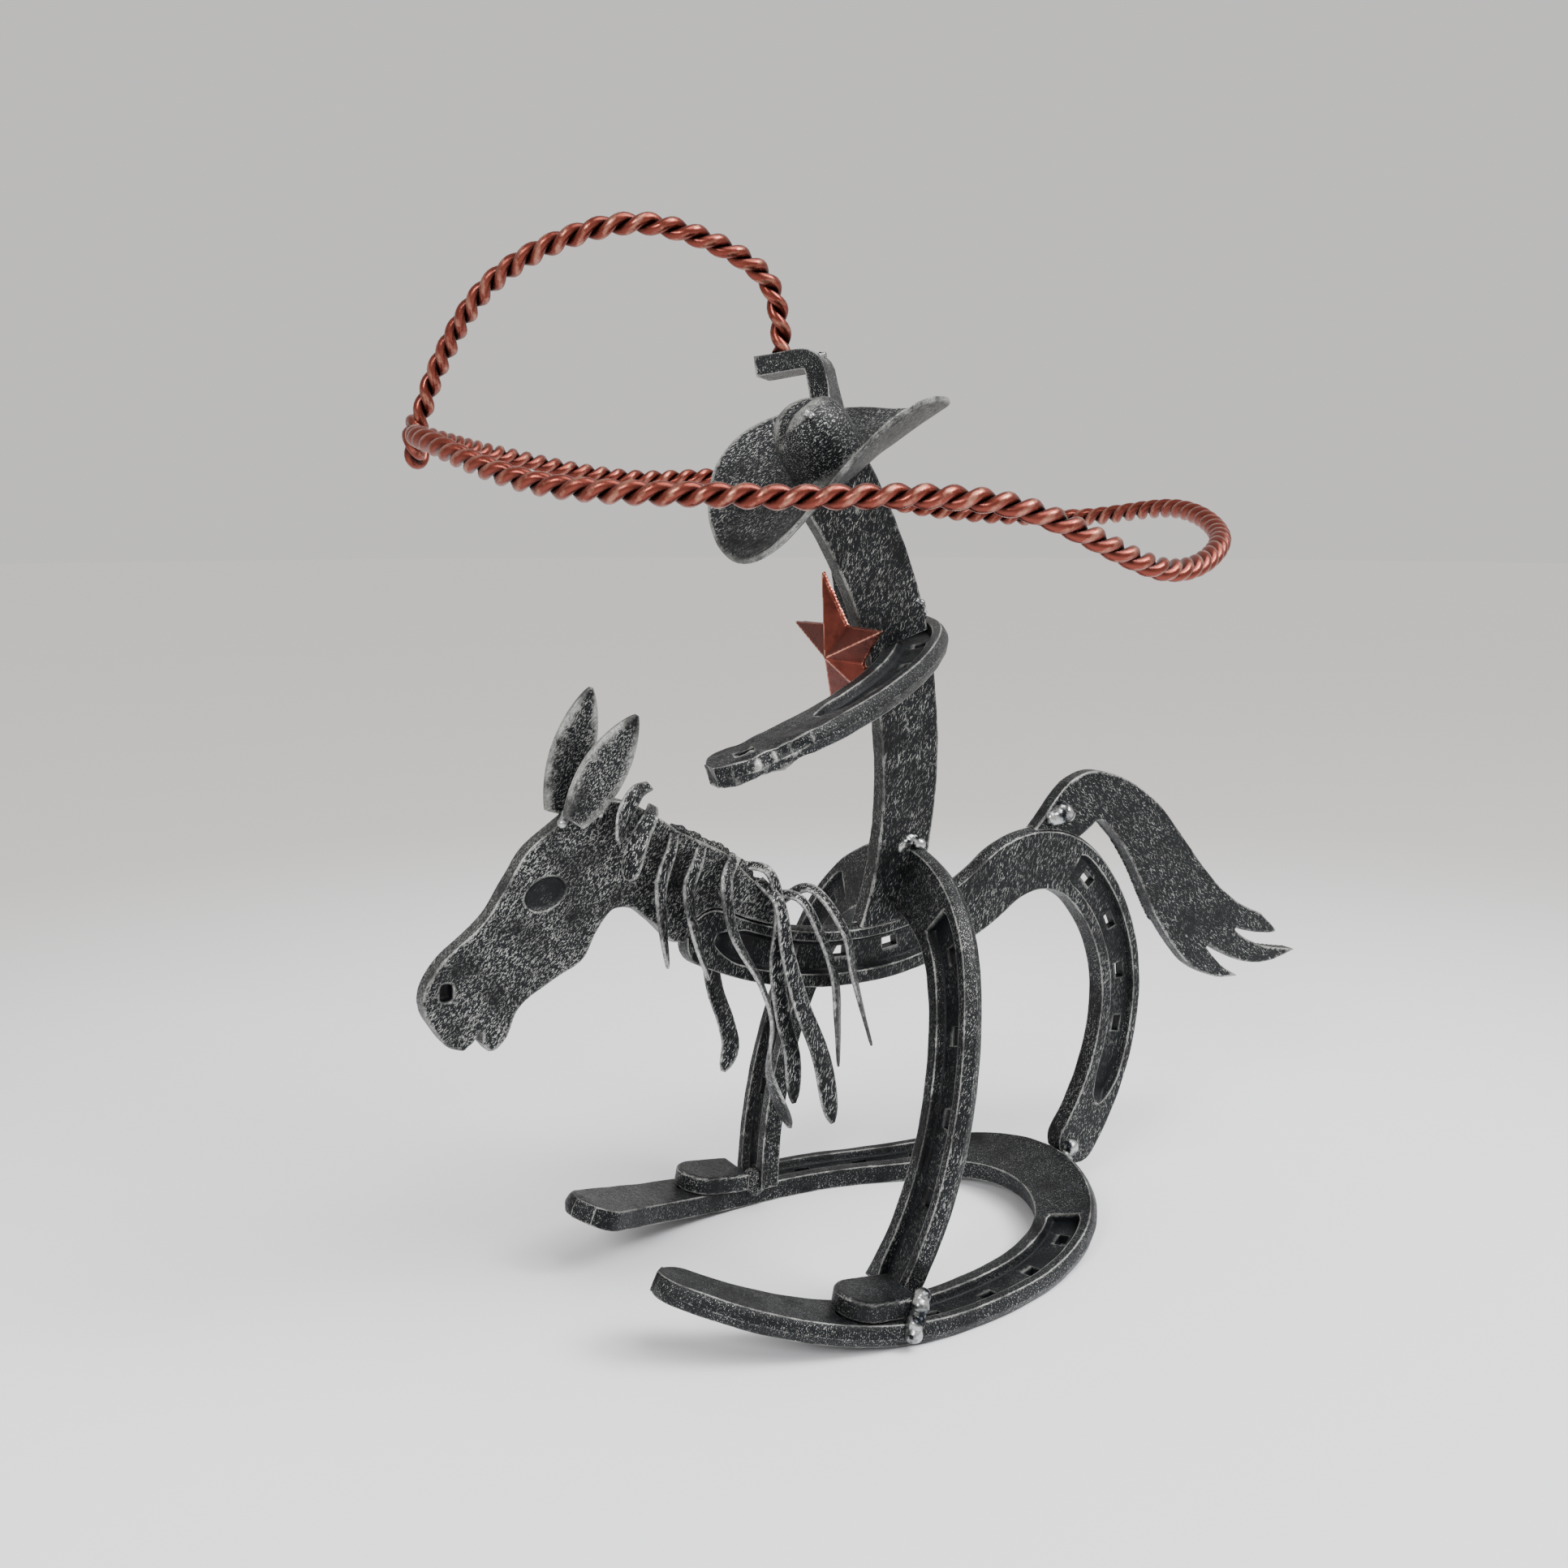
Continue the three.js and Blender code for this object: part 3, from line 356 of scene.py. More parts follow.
def painted_iron(name, stroke, lean, cover, silver="#a6a7a3", rim=0.4):
    """Near-black enamel on steel, dry-brushed with silver: semi-gloss where dark, metallic where worn.

    stroke is the width and the length of a brush mark in mm, drawn coarser than real so that it shows, lean
    its slope, and cover how much of the face is brushed. rim is how sharp an edge has to be to show bare.
    """
    material, tree, shader, place = new_paint(name)
    wide, long = stroke[0] / 1000, stroke[1] / 1000
    # Patches that the brush missed are about 11 mm across, and the grit of the paint is drawn at 1.4 mm
    patch_size, grit_size = 1 / 90, 1 / 700
    marks = []
    for angle in (lean, lean + 0.5):
        laid = add(tree, "ShaderNodeMapping", {"vector_type": "TEXTURE"},
                   {"Vector": place, "Rotation": (0, angle, 0), "Scale": (wide, wide, long)})
        grain = add(tree, "ShaderNodeTexNoise", None,
                    {"Vector": laid.outputs["Vector"], "Scale": 1.0, "Detail": 3.0, "Roughness": 0.65})
        marks.append(grain.outputs["Fac"])
    strokes = add(tree, "ShaderNodeMath", {"operation": "MAXIMUM"}, {0: marks[0], 1: marks[1]}).outputs[0]
    bare_from = 0.66 - 0.1 * cover
    brushed = add(tree, "ShaderNodeMapRange", None,
                  {"Value": strokes, "From Min": bare_from, "From Max": bare_from + 0.04}).outputs[0]
    patches = add(tree, "ShaderNodeTexNoise", None,
                  {"Vector": place, "Scale": 1 / patch_size, "Detail": 2.0}).outputs["Fac"]
    patch = add(tree, "ShaderNodeMapRange", None,
                {"Value": patches, "From Min": 0.28, "From Max": 0.58}).outputs[0]
    loose = add(tree, "ShaderNodeMath", {"operation": "MULTIPLY"}, {0: brushed, 1: patch}).outputs[0]
    worn = add(tree, "ShaderNodeAttribute", {"attribute_name": "worn"}).outputs["Fac"]
    grit = add(tree, "ShaderNodeTexNoise", None,
               {"Vector": place, "Scale": 1 / grit_size, "Detail": 3.0, "Roughness": 0.7}).outputs["Fac"]
    ragged = add(tree, "ShaderNodeMath", {"operation": "MULTIPLY_ADD"},
                 {0: grit, 1: 1.1, 2: -0.62}).outputs[0]
    ragged = add(tree, "ShaderNodeMath", {"operation": "ADD"}, {0: worn, 1: ragged}).outputs[0]
    edges = add(tree, "ShaderNodeMapRange", None,
                {"Value": ragged, "From Min": rim, "From Max": rim + 0.45}).outputs[0]
    broken = add(tree, "ShaderNodeMapRange", None,
                 {"Value": strokes, "From Min": 0.45, "From Max": 0.62, "To Min": 0.4}).outputs[0]
    edges = add(tree, "ShaderNodeMath", {"operation": "MULTIPLY"}, {0: edges, 1: broken}).outputs[0]
    missed = add(tree, "ShaderNodeMapRange", None,
                 {"Value": patches, "From Min": 0.38, "From Max": 0.56, "To Min": 0.2}).outputs[0]
    edges = add(tree, "ShaderNodeMath", {"operation": "MULTIPLY"}, {0: edges, 1: missed}).outputs[0]
    bright = add(tree, "ShaderNodeMath", {"operation": "MAXIMUM", "use_clamp": True},
                 {0: edges, 1: loose}).outputs[0]
    sunk = add(tree, "ShaderNodeAttribute", {"attribute_name": "sunk"}).outputs["Fac"]
    clear = add(tree, "ShaderNodeMapRange", None,
                {"Value": sunk, "From Min": 0.3, "From Max": 0.9, "To Min": 1.0, "To Max": 0.04}).outputs[0]
    bright = add(tree, "ShaderNodeMath", {"operation": "MULTIPLY"}, {0: bright, 1: clear}).outputs[0]
    dark = add(tree, "ShaderNodeMix", {"data_type": "RGBA"},
               {0: patch, 6: linear("#050608"), 7: linear("#0d1013")}).outputs[2]
    colour = add(tree, "ShaderNodeMix", {"data_type": "RGBA"},
                 {0: bright, 6: dark, 7: linear(silver)}).outputs[2]
    metal = add(tree, "ShaderNodeMath", {"operation": "MULTIPLY"}, {0: bright, 1: 0.75}).outputs[0]
    gloss = add(tree, "ShaderNodeMapRange", None,
                {"Value": grit, "From Min": 0.3, "From Max": 0.7, "To Min": 0.3, "To Max": 0.5}).outputs[0]
    relief = add(tree, "ShaderNodeMath", {"operation": "MULTIPLY_ADD"},
                 {0: strokes, 1: 0.7, 2: grit}).outputs[0]
    bump = add(tree, "ShaderNodeBump", None,
               {"Height": relief, "Strength": 0.5, "Distance": 0.0004}).outputs["Normal"]
    feed(tree, shader, {"Base Color": colour, "Metallic": metal, "Roughness": gloss,
                        "Specular IOR Level": 0.16, "Normal": bump})
    return material


def remesh(piece, voxel):
    """The piece as an even net of small faces, so that edges are broken and faces can be beaten."""
    even = piece.modifiers.new("even", "REMESH")
    even.mode = "VOXEL"
    even.voxel_size = voxel * 0.001
    even.adaptivity = 0
    ready = piece.evaluated_get(bpy.context.evaluated_depsgraph_get())
    mesh = bpy.data.meshes.new_from_object(ready)
    piece.modifiers.clear()
    piece.data = mesh
    return piece


def dress(piece, nodes, material, sharp=52):
    """Marks where a piece is worn and where it is sunk, paints it and lets it stand for its CAD nodes."""
    mesh = piece.data
    shape = bmesh.new()
    shape.from_mesh(mesh)
    # An edge turned by this angle is fully bare. Rays that leave low over the surface find its hollows
    bare_angle = 0.6
    rays, lift, reach, blocked_rays = 8, 0.2, 0.0055, 5
    worn = np.zeros(len(shape.verts), np.float32)
    for edge in shape.edges:
        if len(edge.link_faces) == 2:
            angle = min(1.0, max(-1.0, edge.calc_face_angle_signed(0) / bare_angle))
            for vert in edge.verts:
                worn[vert.index] = max(worn[vert.index], angle)
    sunk = np.zeros(len(shape.verts), np.float32)
    walls = BVHTree.FromBMesh(shape)
    for vert in shape.verts:
        aside = vert.normal.orthogonal().normalized()
        ahead = vert.normal.cross(aside)
        blocked = 0
        for ray in range(rays):
            angle = 2 * math.pi * ray / rays
            low_ray = aside * math.cos(angle) + ahead * math.sin(angle) + vert.normal * lift
            hit = walls.ray_cast(vert.co + vert.normal * 2e-4, low_ray, reach)
            blocked += hit[0] is not None
        sunk[vert.index] = blocked / blocked_rays
    shape.free()
    mesh.attributes.new("worn", "FLOAT", "POINT").data.foreach_set("value", worn)
    mesh.attributes.new("sunk", "FLOAT", "POINT").data.foreach_set("value", sunk)
    mesh.shade_smooth()
    mesh.set_sharp_from_angle(angle=math.radians(sharp))
    mesh.materials.clear()
    mesh.materials.append(material)
    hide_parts(*nodes)
    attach(piece, "root")
    return piece


def hammer(piece, depth, size, seed, share=None):
    """Moves the surface in and out by up to a depth, in lumps of a size, where share(spot) says how much."""
    mesh = piece.data
    spots = np.zeros(3 * len(mesh.vertices), np.float32)
    normals = np.zeros(3 * len(mesh.vertices), np.float32)
    mesh.vertices.foreach_get("co", spots)
    mesh.vertex_normals.foreach_get("vector", normals)
    spots, normals = spots.reshape(-1, 3), normals.reshape(-1, 3)
    moves = np.array([noise.noise(Vector(spot) * (1000 / size) + Vector((seed * 7.3, seed * 3.1, 0)))
                      for spot in spots])
    if share:
        moves = [(move - 0.4) * share(Vector(spot) * 1000 - Vector((0, MIDDLE, 0)))
                 for move, spot in zip(moves, spots)]
    mesh.vertices.foreach_set("co", (spots + normals * np.array(moves)[:, None] * depth * 0.001).ravel())
    mesh.update()
    return piece


BASE_TOE_X = 15.0
BASE_BRANCH, BASE_BRANCH_RADIUS = 134, 116
BASE_REACH = TOE_LENGTH + BASE_BRANCH
base_line = shoe_line(BASE_BRANCH_RADIUS)
# The rocker is flat for this far to either side of the middle, and then rises by these shares of a square
FLAT = 15
FRONT_RISE, REAR_RISE = 0.003, 0.004


def on_rocker(x, y, up):
    """A point of the flat plan laid on the bent bar: flat under the rider, rising to both ends."""
    front, rear = max(0.0, -FLAT - x), max(0.0, x - FLAT)
    rise = FRONT_RISE * front**2 + REAR_RISE * rear**2
    lean = math.atan(2 * (REAR_RISE * rear - FRONT_RISE * front))
    return x - up * math.sin(lean), y, rise + up * math.cos(lean)


def place_on_base(station, across, up):
    x, y, out_x, out_y = base_line(station)
    return on_rocker(BASE_TOE_X + x + out_x * across, y + out_y * across, up)


base_creases = ((33, 132), (-33, -132))
base = shoe("rocker_base", -BASE_REACH, BASE_REACH, place_on_base, abs, base_creases)
hammer(base, FORGED, 7, 1)
cut(base, nail_holes(base_creases, place_on_base))
# Enamel over a forged bar lies dull and dark on the level faces, with thin bright lines along the edges
iron_level = painted_iron("black enamelled horseshoe iron, brushed along the base", (0.28, 0.6), 0.0, 0.36)
dress(base, ["base_shoe"], iron_level)

# Rider's legs
# A whole shoe stands astride the horse, toe up and leaning back, its nail crease to the front. Its heels
# are cut to the rocker and its bow goes round the belly.
LEG_BRANCH, LEG_BRANCH_RADIUS = 100, 104
LEG_REACH = TOE_LENGTH + LEG_BRANCH
leg_line = shoe_line(LEG_BRANCH_RADIUS)
LEAN, YAW = 0.257, -0.045
# How far up its own slope the centre of the toe's bow lies above the foot, and how far to the far side
BOW_CENTRE, LEG_ASIDE = 68, 3
leg_up = np.array((math.sin(LEAN), 0, math.cos(LEAN)))
leg_front = np.array((-math.cos(LEAN), 0, math.sin(LEAN)))
leg_foot = np.array((-26.8, 0, 7.0)) - leg_front * BAR


def place_on_legs(station, across, up):
    x, y, out_x, out_y = leg_line(station)
    spot = leg_foot + leg_up * (BOW_CENTRE + x + out_x * across) + leg_front * up
    spot[1] += y + out_y * across
    turned_x = spot[0] * math.cos(YAW) - spot[1] * math.sin(YAW)
    turned_y = spot[0] * math.sin(YAW) + spot[1] * math.cos(YAW)
    return turned_x, turned_y + LEG_ASIDE, spot[2]


def block(low, high):
    """A plain block to cut with."""
    corners = [(x, y, z) for x in (low[0], high[0]) for y in (low[1], high[1]) for z in (low[2], high[2])]
    sides = ((0, 1, 3, 2), (4, 6, 7, 5), (0, 4, 5, 1), (2, 3, 7, 6), (0, 2, 6, 4), (1, 5, 7, 3))
    return mesh_object("block", corners, sides)


def arc_path(x, y, heading_now, runs):
    """A path of arcs: gives the point and the heading at a distance from its start."""

    def at(distance):
        px, py, angle, left = x, y, heading_now, distance
        for i, (length, radius) in enumerate(runs):
            run = left if i == len(runs) - 1 or left < length else length
            swing = run / radius
            px += radius * (math.sin(angle + swing) - math.sin(angle))
            py -= radius * (math.cos(angle + swing) - math.cos(angle))
            angle += swing
            left -= run
            if left <= 0:
                break
        return px, py, angle

    return at


# Lengths and radii of the opened shoe's arcs, from the heel on the rocker over the rump to the neck
BODY_RUNS = ((48.7, 82.2), (51.1, 57.4), (38.1, 27.1), (47.6, -82.8), (63, -107.1))
BODY_REACH = sum(length for length, radius in BODY_RUNS)
BODY_TOE = 128
HEEL_X, HEEL_Z, HEEL_SLOPE = 68.2, 13, 0.871
body_line = arc_path(HEEL_X, HEEL_Z, HEEL_SLOPE, BODY_RUNS)


def place_on_body(station, across, up):
    x, z, angle = body_line(max(0, station))
    before = min(0, station)
    x += math.cos(angle) * before + math.sin(angle) * across
    z += math.sin(angle) * before - math.cos(angle) * across
    return x, BAR / 2 - up, z


def body_bar(name, creases=(), clearance=0.0):
    return shoe(name, -3, BODY_REACH, place_on_body, lambda s: s - BODY_TOE, creases, clearance=clearance)


leg_creases = ((27, 138), (-27, -138))
legs = shoe("rider_legs", -LEG_REACH, LEG_REACH, place_on_legs, abs, leg_creases, rounds=(0, 0))
hammer(legs, FORGED, 6, 2)
FEET_X = -32.8
foot_cut = block((-120, -100, -60), (80, 100, BAR + GAP + FRONT_RISE * (-FEET_X - FLAT) ** 2))
body_room = body_bar("body_room", clearance=GAP)
cut(legs, nail_holes(leg_creases, place_on_legs) + [foot_cut], [body_room])
# On the upright bars the brush was drawn up and down, so that they look scratched along the grain
iron_upright = painted_iron("black enamelled horseshoe iron, brushed upward", (0.26, 1.7), 0.1, 0.5)
dress(legs, ["leg_shoe"], iron_upright)

# Rider's boots
# Two heels cut from a shoe and laid flat on the rocker in front of the legs, with their noses ground round
# and their top edges broken.
BOOT_HEEL, BOOT_LENGTH, BOOT_MIDDLE, BOOT_HALF, BOOT_NOSE = -29.0, 22, 45.5, 8.5, 8
# Heights of the boot's rings above the rocker, and how far each is drawn in
BOOT_RINGS = ((0, 0.3), (0.3, 0), (4.6, 0), (5.1, 0.25), (5.4, 0.8))
for side, node in ((-1, "near_boot"), (1, "far_boot")):
    middle, toe = BOOT_MIDDLE * side, BOOT_HEEL - BOOT_LENGTH
    plan = []
    for i in range(25):
        angle = math.pi / 2 + math.pi * i / 24
        plan.append((toe + BOOT_NOSE + BOOT_NOSE * math.cos(angle), middle + BOOT_HALF * math.sin(angle)))
    straight, narrow = toe + 2 * BOOT_NOSE, 0.94 * BOOT_HALF
    plan += [(straight, middle - BOOT_HALF), (BOOT_HEEL, middle - narrow)]
    plan += [(BOOT_HEEL, middle + narrow), (straight, middle + BOOT_HALF)]
    rings = []
    for up, shrink in BOOT_RINGS:
        pull = 1 - shrink / BOOT_HALF
        centre = toe + BOOT_LENGTH / 2
        rings.append([on_rocker(centre + (x - centre) * pull, middle + (y - middle) * pull, BAR + GAP + up)
                      for x, y in plan])
    boot = wrapped(node.replace("boot", "heel_plate"), rings)
    remesh(boot, 0.5)
    dress(boot, [node], iron_level)

# Horse's body
# One shoe opened out on the anvil: its branch is the hind leg, its toe the rump, the other branch the
# belly. The crease and the nail holes look to the near side, and daylight shows through them.
body_creases = ((BODY_TOE - 22, 18), (BODY_TOE + 25, BODY_REACH - 8))
body = body_bar("horse_body", body_creases)
hammer(body, FORGED, 6, 3)
base_room = shoe("base_room", -BASE_REACH, BASE_REACH, place_on_base, abs, clearance=GAP)
cut(body, nail_holes(body_creases, place_on_body) + [base_room])
dress(body, ["body_shoe"], iron_upright)

# Horse's head and neck
# Cut from one plate as thick as the shoes and welded by the neck to the front heel. The eye is a shallow
# punched oval, the nostril a square pit punched from both faces and the mouth a saw cut.
def through(points, steps, even=False):
    """A smooth line through points: an even one for drawn outlines, else one that suits uneven points."""
    points = [np.array(p, float) for p in points]
    made = []
    for i in range(len(points) - 1):
        p1, p2 = points[i], points[i + 1]
        p0 = points[i - 1] if i else (p1 if even else 2 * p1 - p2)
        p3 = points[i + 2] if i + 2 < len(points) else (p2 if even else 2 * p2 - p1)
        if even:
            start, end = 0.5 * (p2 - p0), 0.5 * (p3 - p1)
        else:
            a, b, c = (max(1e-3, float(np.linalg.norm(q - p))) ** 0.5
                       for p, q in ((p0, p1), (p1, p2), (p2, p3)))
            start = ((p1 - p0) / a - (p2 - p0) / (a + b) + (p2 - p1) / b) * b
            end = ((p2 - p1) / b - (p3 - p1) / (b + c) + (p3 - p2) / c) * b
        for k in range(steps):
            t = k / steps
            made.append((2 * t**3 - 3 * t**2 + 1) * p1 + (t**3 - 2 * t**2 + t) * start
                        + (3 * t**2 - 2 * t**3) * p2 + (t**3 - t**2) * end)
    made.append(points[-1])
    return made


def plate(name, outline, thick, middle=0.0, ease=0.45):
    """A plate cut to an outline in the plane of the horse, its edges broken by a small chamfer."""
    outline = [np.array(p, float) for p in outline]
    outline = [p for p, q in zip(outline, outline[1:] + outline[:1]) if np.hypot(*(p - q)) > 0.05]
    area = sum(p[0] * q[1] - q[0] * p[1] for p, q in zip(outline, outline[1:] + outline[:1]))
    count = len(outline)
    insides = []
    for i, point in enumerate(outline):
        ahead, back = outline[(i + 1) % count] - point, point - outline[i - 1]
        along = ahead / np.hypot(*ahead) + back / np.hypot(*back)
        along /= max(0.2, float(np.hypot(*along)))
        insides.append(np.array((-along[1], along[0])) * math.copysign(1, area))
    rings = []
    for depth, inward in ((0, ease), (0.3 * ease, 0.3 * ease), (ease, 0), (thick - ease, 0),
                          (thick - 0.3 * ease, 0.3 * ease), (thick, ease)):
        rings.append([(p[0] + n[0] * inward, middle - thick / 2 + depth, p[1] + n[1] * inward)
                      for p, n in zip(outline, insides)])
    return wrapped(name, rings)


# Drawn outlines are smoothed with this many points to a stretch, and plates are beaten to this depth
STRETCH = 8
BEATEN = 0.2
face = through([(-79.6, 139.3), (-88, 143.5), (-99, 145), (-104, 141.1), (-114.6, 133.6), (-120, 126.3),
                (-127, 116.6), (-137.4, 108.5), (-142.8, 101.5), (-143.3, 95.5), (-140.8, 90.4),
                (-137.6, 86), (-133.5, 84)], STRETCH, True)
mouth = [(-130.6, 86), (-128, 90.2), (-128.6, 85)]
throat = through([(-127, 82.8), (-124.8, 83.1), (-121.8, 86), (-119.2, 92), (-115, 95.6), (-107.4, 99.4),
                  (-100.4, 103.2), (-96.6, 109.8), (-92, 115), (-86.5, 114.6), (-81, 110.5), (-75, 104)],
                 STRETCH, True)
crest = through([(-39, 101), (-44, 112), (-51, 119.5), (-57.5, 126), (-65, 130.2), (-73, 134.5)],
                STRETCH, True)
neck_end = [(-56, 100)]
head = plate("horse_head", face + mouth + throat + neck_end + crest, BAR)
EYE_X, EYE_Z, EYE_LONG, EYE_WIDE, EYE_SLOPE = -110.5, 121.8, 5.7, 3.9, 0.35
EYE_DEPTH, NOSTRIL_DEPTH = 1.2, 2.6
slope_x, slope_z = math.cos(EYE_SLOPE), math.sin(EYE_SLOPE)
oval = [(EYE_X + EYE_LONG * math.cos(a) * slope_x - EYE_WIDE * math.sin(a) * slope_z,
         EYE_Z + EYE_LONG * math.cos(a) * slope_z + EYE_WIDE * math.sin(a) * slope_x)
        for a in np.linspace(0, 2 * math.pi, 33)[:-1]]
sockets = [plate("socket", oval, 2 * EYE_DEPTH, side * BAR / 2, 0.3) for side in (-1, 1)]
square = [(-139.1, 97.8), (-136, 97.8), (-135.8, 102.2), (-138.9, 102.2)]
nostrils = [plate("nostril", square, 2 * NOSTRIL_DEPTH, side * BAR / 2, 0.01) for side in (-1, 1)]
cut(head, sockets + nostrils, [body_room])
hammer(remesh(head, 0.5), BEATEN, 8, 8)
# Scrubbed with silver over the enamel, so that a flat plate looks pewter grey with black pores
iron_plate = painted_iron("black enamelled plate iron, scrubbed with a silver brush", (0.28, 1.0), 0.5, 0.78)
dress(head, ["head"], iron_plate)

# Horse's ears
# Two thin leaves of sheet iron, one welded on each face of the head, scrubbed like the head and pointing
# up and back.

# The blade's section, as shares of its half width and of its half thickness
BLADE_SECTION = ((-1, 0), (-0.95, -0.6), (-0.82, -0.92), (0, -1), (0.82, -0.92), (0.95, -0.6),
                 (1, 0), (0.95, 0.6), (0.82, 0.92), (0, 1), (-0.82, 0.92), (-0.95, 0.6))


def blade(name, points, width, thick, shape_of, out, turns=0.0, steps=40):
    """A thin forged blade along a line: shape_of(share) gives its width, out the way its flat side looks."""
    line = np.array(through(points, 24))
    lengths = np.concatenate(([0], np.cumsum(np.linalg.norm(np.diff(line, axis=0), axis=1))))
    shares = np.linspace(0, 1, steps + 1)
    spots = np.array([[np.interp(s * lengths[-1], lengths, line[:, k]) for k in range(3)] for s in shares])
    tangents = np.gradient(spots, axis=0)
    rings = []
    for share, spot, along in zip(shares, spots, tangents):
        along = along / np.linalg.norm(along)
        flat = np.array(out, float)
        flat -= along * flat.dot(along)
        flat /= np.linalg.norm(flat)
        side = np.cross(along, flat)
        spin = turns * math.pi * share
        half = width / 2 * shape_of(share)
        ring = []
        for a, b in BLADE_SECTION:
            x, y = a * half, b * thick / 2 * (0.4 + 0.6 * min(1, shape_of(share) * 1.5))
            ring.append(spot + side * (x * math.cos(spin) - y * math.sin(spin))
                        + flat * (x * math.sin(spin) + y * math.cos(spin)))
        rings.append(ring)
    return wrapped(name, rings)


def leaf(share):
    """The ear's width as a share, cut off at the root and drawn to a point."""
    return max(0.04, math.sin(math.pi * min(1, share * 0.86 + 0.13)) ** 0.72)


EAR_THICK = 2.3
for node, root, tip, wide, side in (
    ("near_ear", (-102, 141.5), (-84.9, 166), 13.2, -1),
    ("far_ear", (-103.5, 143), (-93.5, 172.8), 12.7, 1),
):
    off = side * (BAR / 2 + GAP + 1.2)
    line = [(root[0] + (tip[0] - root[0]) * s, off, root[1] + (tip[1] - root[1]) * s)
            for s in (-0.07, 0.3, 0.65, 1)]
    ear = blade("horse_" + node, line, wide, EAR_THICK, leaf, (0, side, 0))
    dress(ear, [node], iron_plate, sharp=35)

# Forelock and mane
# Thin blades drawn out under the hammer, blunt at the tip and turned a little along their length, welded
# side by side to the crest of the neck and rubbed bright.

# Node, line from root to tip, width and half turns of each blade
LOCKS = (
    ("forelock_1", ((-81.4, -3.8, 147.2), (-86.3, -6.5, 146.2), (-90.1, -7.5, 141), (-91.9, -7.5, 133.7)),
     6, 0.3),
    ("forelock_2", ((-79, -1, 141), (-82.2, -6, 139.5), (-86.6, -7.5, 133), (-89.6, -7.5, 123.6)), 6, -0.3),
    ("mane_1", ((-72.2, 0, 135), (-75.8, -5.5, 130.5), (-79.8, -7, 121.5), (-79.9, -7.5, 110.6),
                (-78.7, -8, 98.7)), 5, 0.3),
    ("mane_2", ((-63.7, 0, 130.4), (-68.1, -5.5, 125.9), (-71.7, -7, 119.3), (-70.1, -7, 106.9),
                (-66.6, -8, 93.6)), 5.4, 0.3),
    ("mane_3", ((-57.7, 1, 126.9), (-55.7, 6.5, 119.1), (-58.2, 8.5, 103), (-57.4, 9, 96.4),
                (-55.2, 9.5, 84.2), (-51.6, 10, 74.2), (-50.1, 10, 66.2), (-52.6, 10, 59.4)), 6, 0),
    ("mane_4", ((-54.8, -2, 125), (-60.3, -7, 119.9), (-59.1, -8.5, 105.6), (-51.1, -9.5, 90),
                (-48.4, -10.5, 79.4), (-49.2, -10.5, 65.5), (-42.4, -10, 47.4)), 6.6, 0.5),
    ("mane_5", ((-52, 1, 121.8), (-46.3, -4.8, 120.6), (-43.1, -6, 108.6), (-44.2, -6, 93.7),
                (-42.4, -6.5, 78.4), (-39.5, -6.5, 67.2), (-38.9, -6.5, 52.7)), 5.4, 0),
    ("mane_6", ((-47.6, -2, 117.5), (-45, -8.5, 112.2), (-43, -9.5, 98.8), (-38.9, -10, 83.3),
                (-32, -10, 65.7), (-28.1, -10, 45.8)), 6.6, 0),
    ("mane_7", ((-43.5, -1, 112.8), (-37, -5.5, 112), (-29.8, -6.3, 99.9), (-25.5, -6.5, 87.4),
                (-24.7, -7, 74.3), (-24.3, -7, 61.1)), 5.4, 0.3),
    ("mane_8", ((-41, 1.5, 108.5), (-32, -3, 113.6), (-23.4, -8, 101.3), (-20.1, -8.5, 86.8),
                (-14.4, -9, 66.2)), 5.2, 0.3),
)
LOCK_THICK = 1.1


def drawn_out(share):
    """Narrow at the root, widest shortly before the tip and then quickly round to a blunt point."""
    spread = 0.52 + 0.48 * math.sin(0.5 * math.pi * min(1, share / 0.8)) ** 1.5
    tip = max(0.0, (share - 0.84) / 0.165)
    return spread * math.sqrt(max(0.01, 1 - tip**2.2))


# Handled most, the blades are rubbed brighter than the bars, in longer and wider strokes
iron_blade = painted_iron("black enamelled blades, rubbed bright", (0.4, 2.4), 0.2, 0.62, "#bdbebb", 0.6)
for node, points, wide, turns in LOCKS:
    lock = blade(node.replace("_", "_lock_"), points, wide, LOCK_THICK, drawn_out, (0, -0.8, 0.6), turns)
    dress(lock, [node], iron_blade, sharp=35)

# Tail
# Cut from thinner plate, its end sawn into pointed locks, and its root let into the rump and welded.
TAIL_THICK = 5.0
tail_line = through([(48, 119.5), (53, 124.5), (58.7, 131), (65, 135.6), (73.9, 137.4), (87.3, 133.3),
                     (100.7, 124.5), (113.6, 110.7), (127.5, 95.9), (139, 87), (150.4, 81.6)], STRETCH, True)
for lock_line in (
    ((150.4, 81.6), (158.3, 74.2), (150, 74.6), (141, 77), (134, 80.8)),
    ((134, 80.8), (143, 74), (155, 68.8), (169, 66.2)),
    ((169, 66.2), (156, 63.6), (143, 65.4), (132, 70.4), (122, 76.5)),
    ((122, 76.5), (128, 70), (134, 64.8), (140.8, 60.8)),
    ((140.8, 60.8), (129, 62.3), (116, 69.6), (103, 84.8), (95, 98.5), (89, 108.4), (82, 117), (76, 121.5),
     (72, 119.6), (66, 116)),
):
    tail_line += through(lock_line, STRETCH, True)[1:]
tail = plate("horse_tail", tail_line, TAIL_THICK)
remesh(tail, 0.5)
cut(tail, [], [body_room])
hammer(tail, BEATEN, 8, 9)
# The brush followed the tail down, so its marks slope with it
iron_tail = painted_iron("black enamelled plate iron, brushed down the tail", (0.26, 1.7), -1.03, 0.42)
dress(tail, ["tail"], iron_tail)

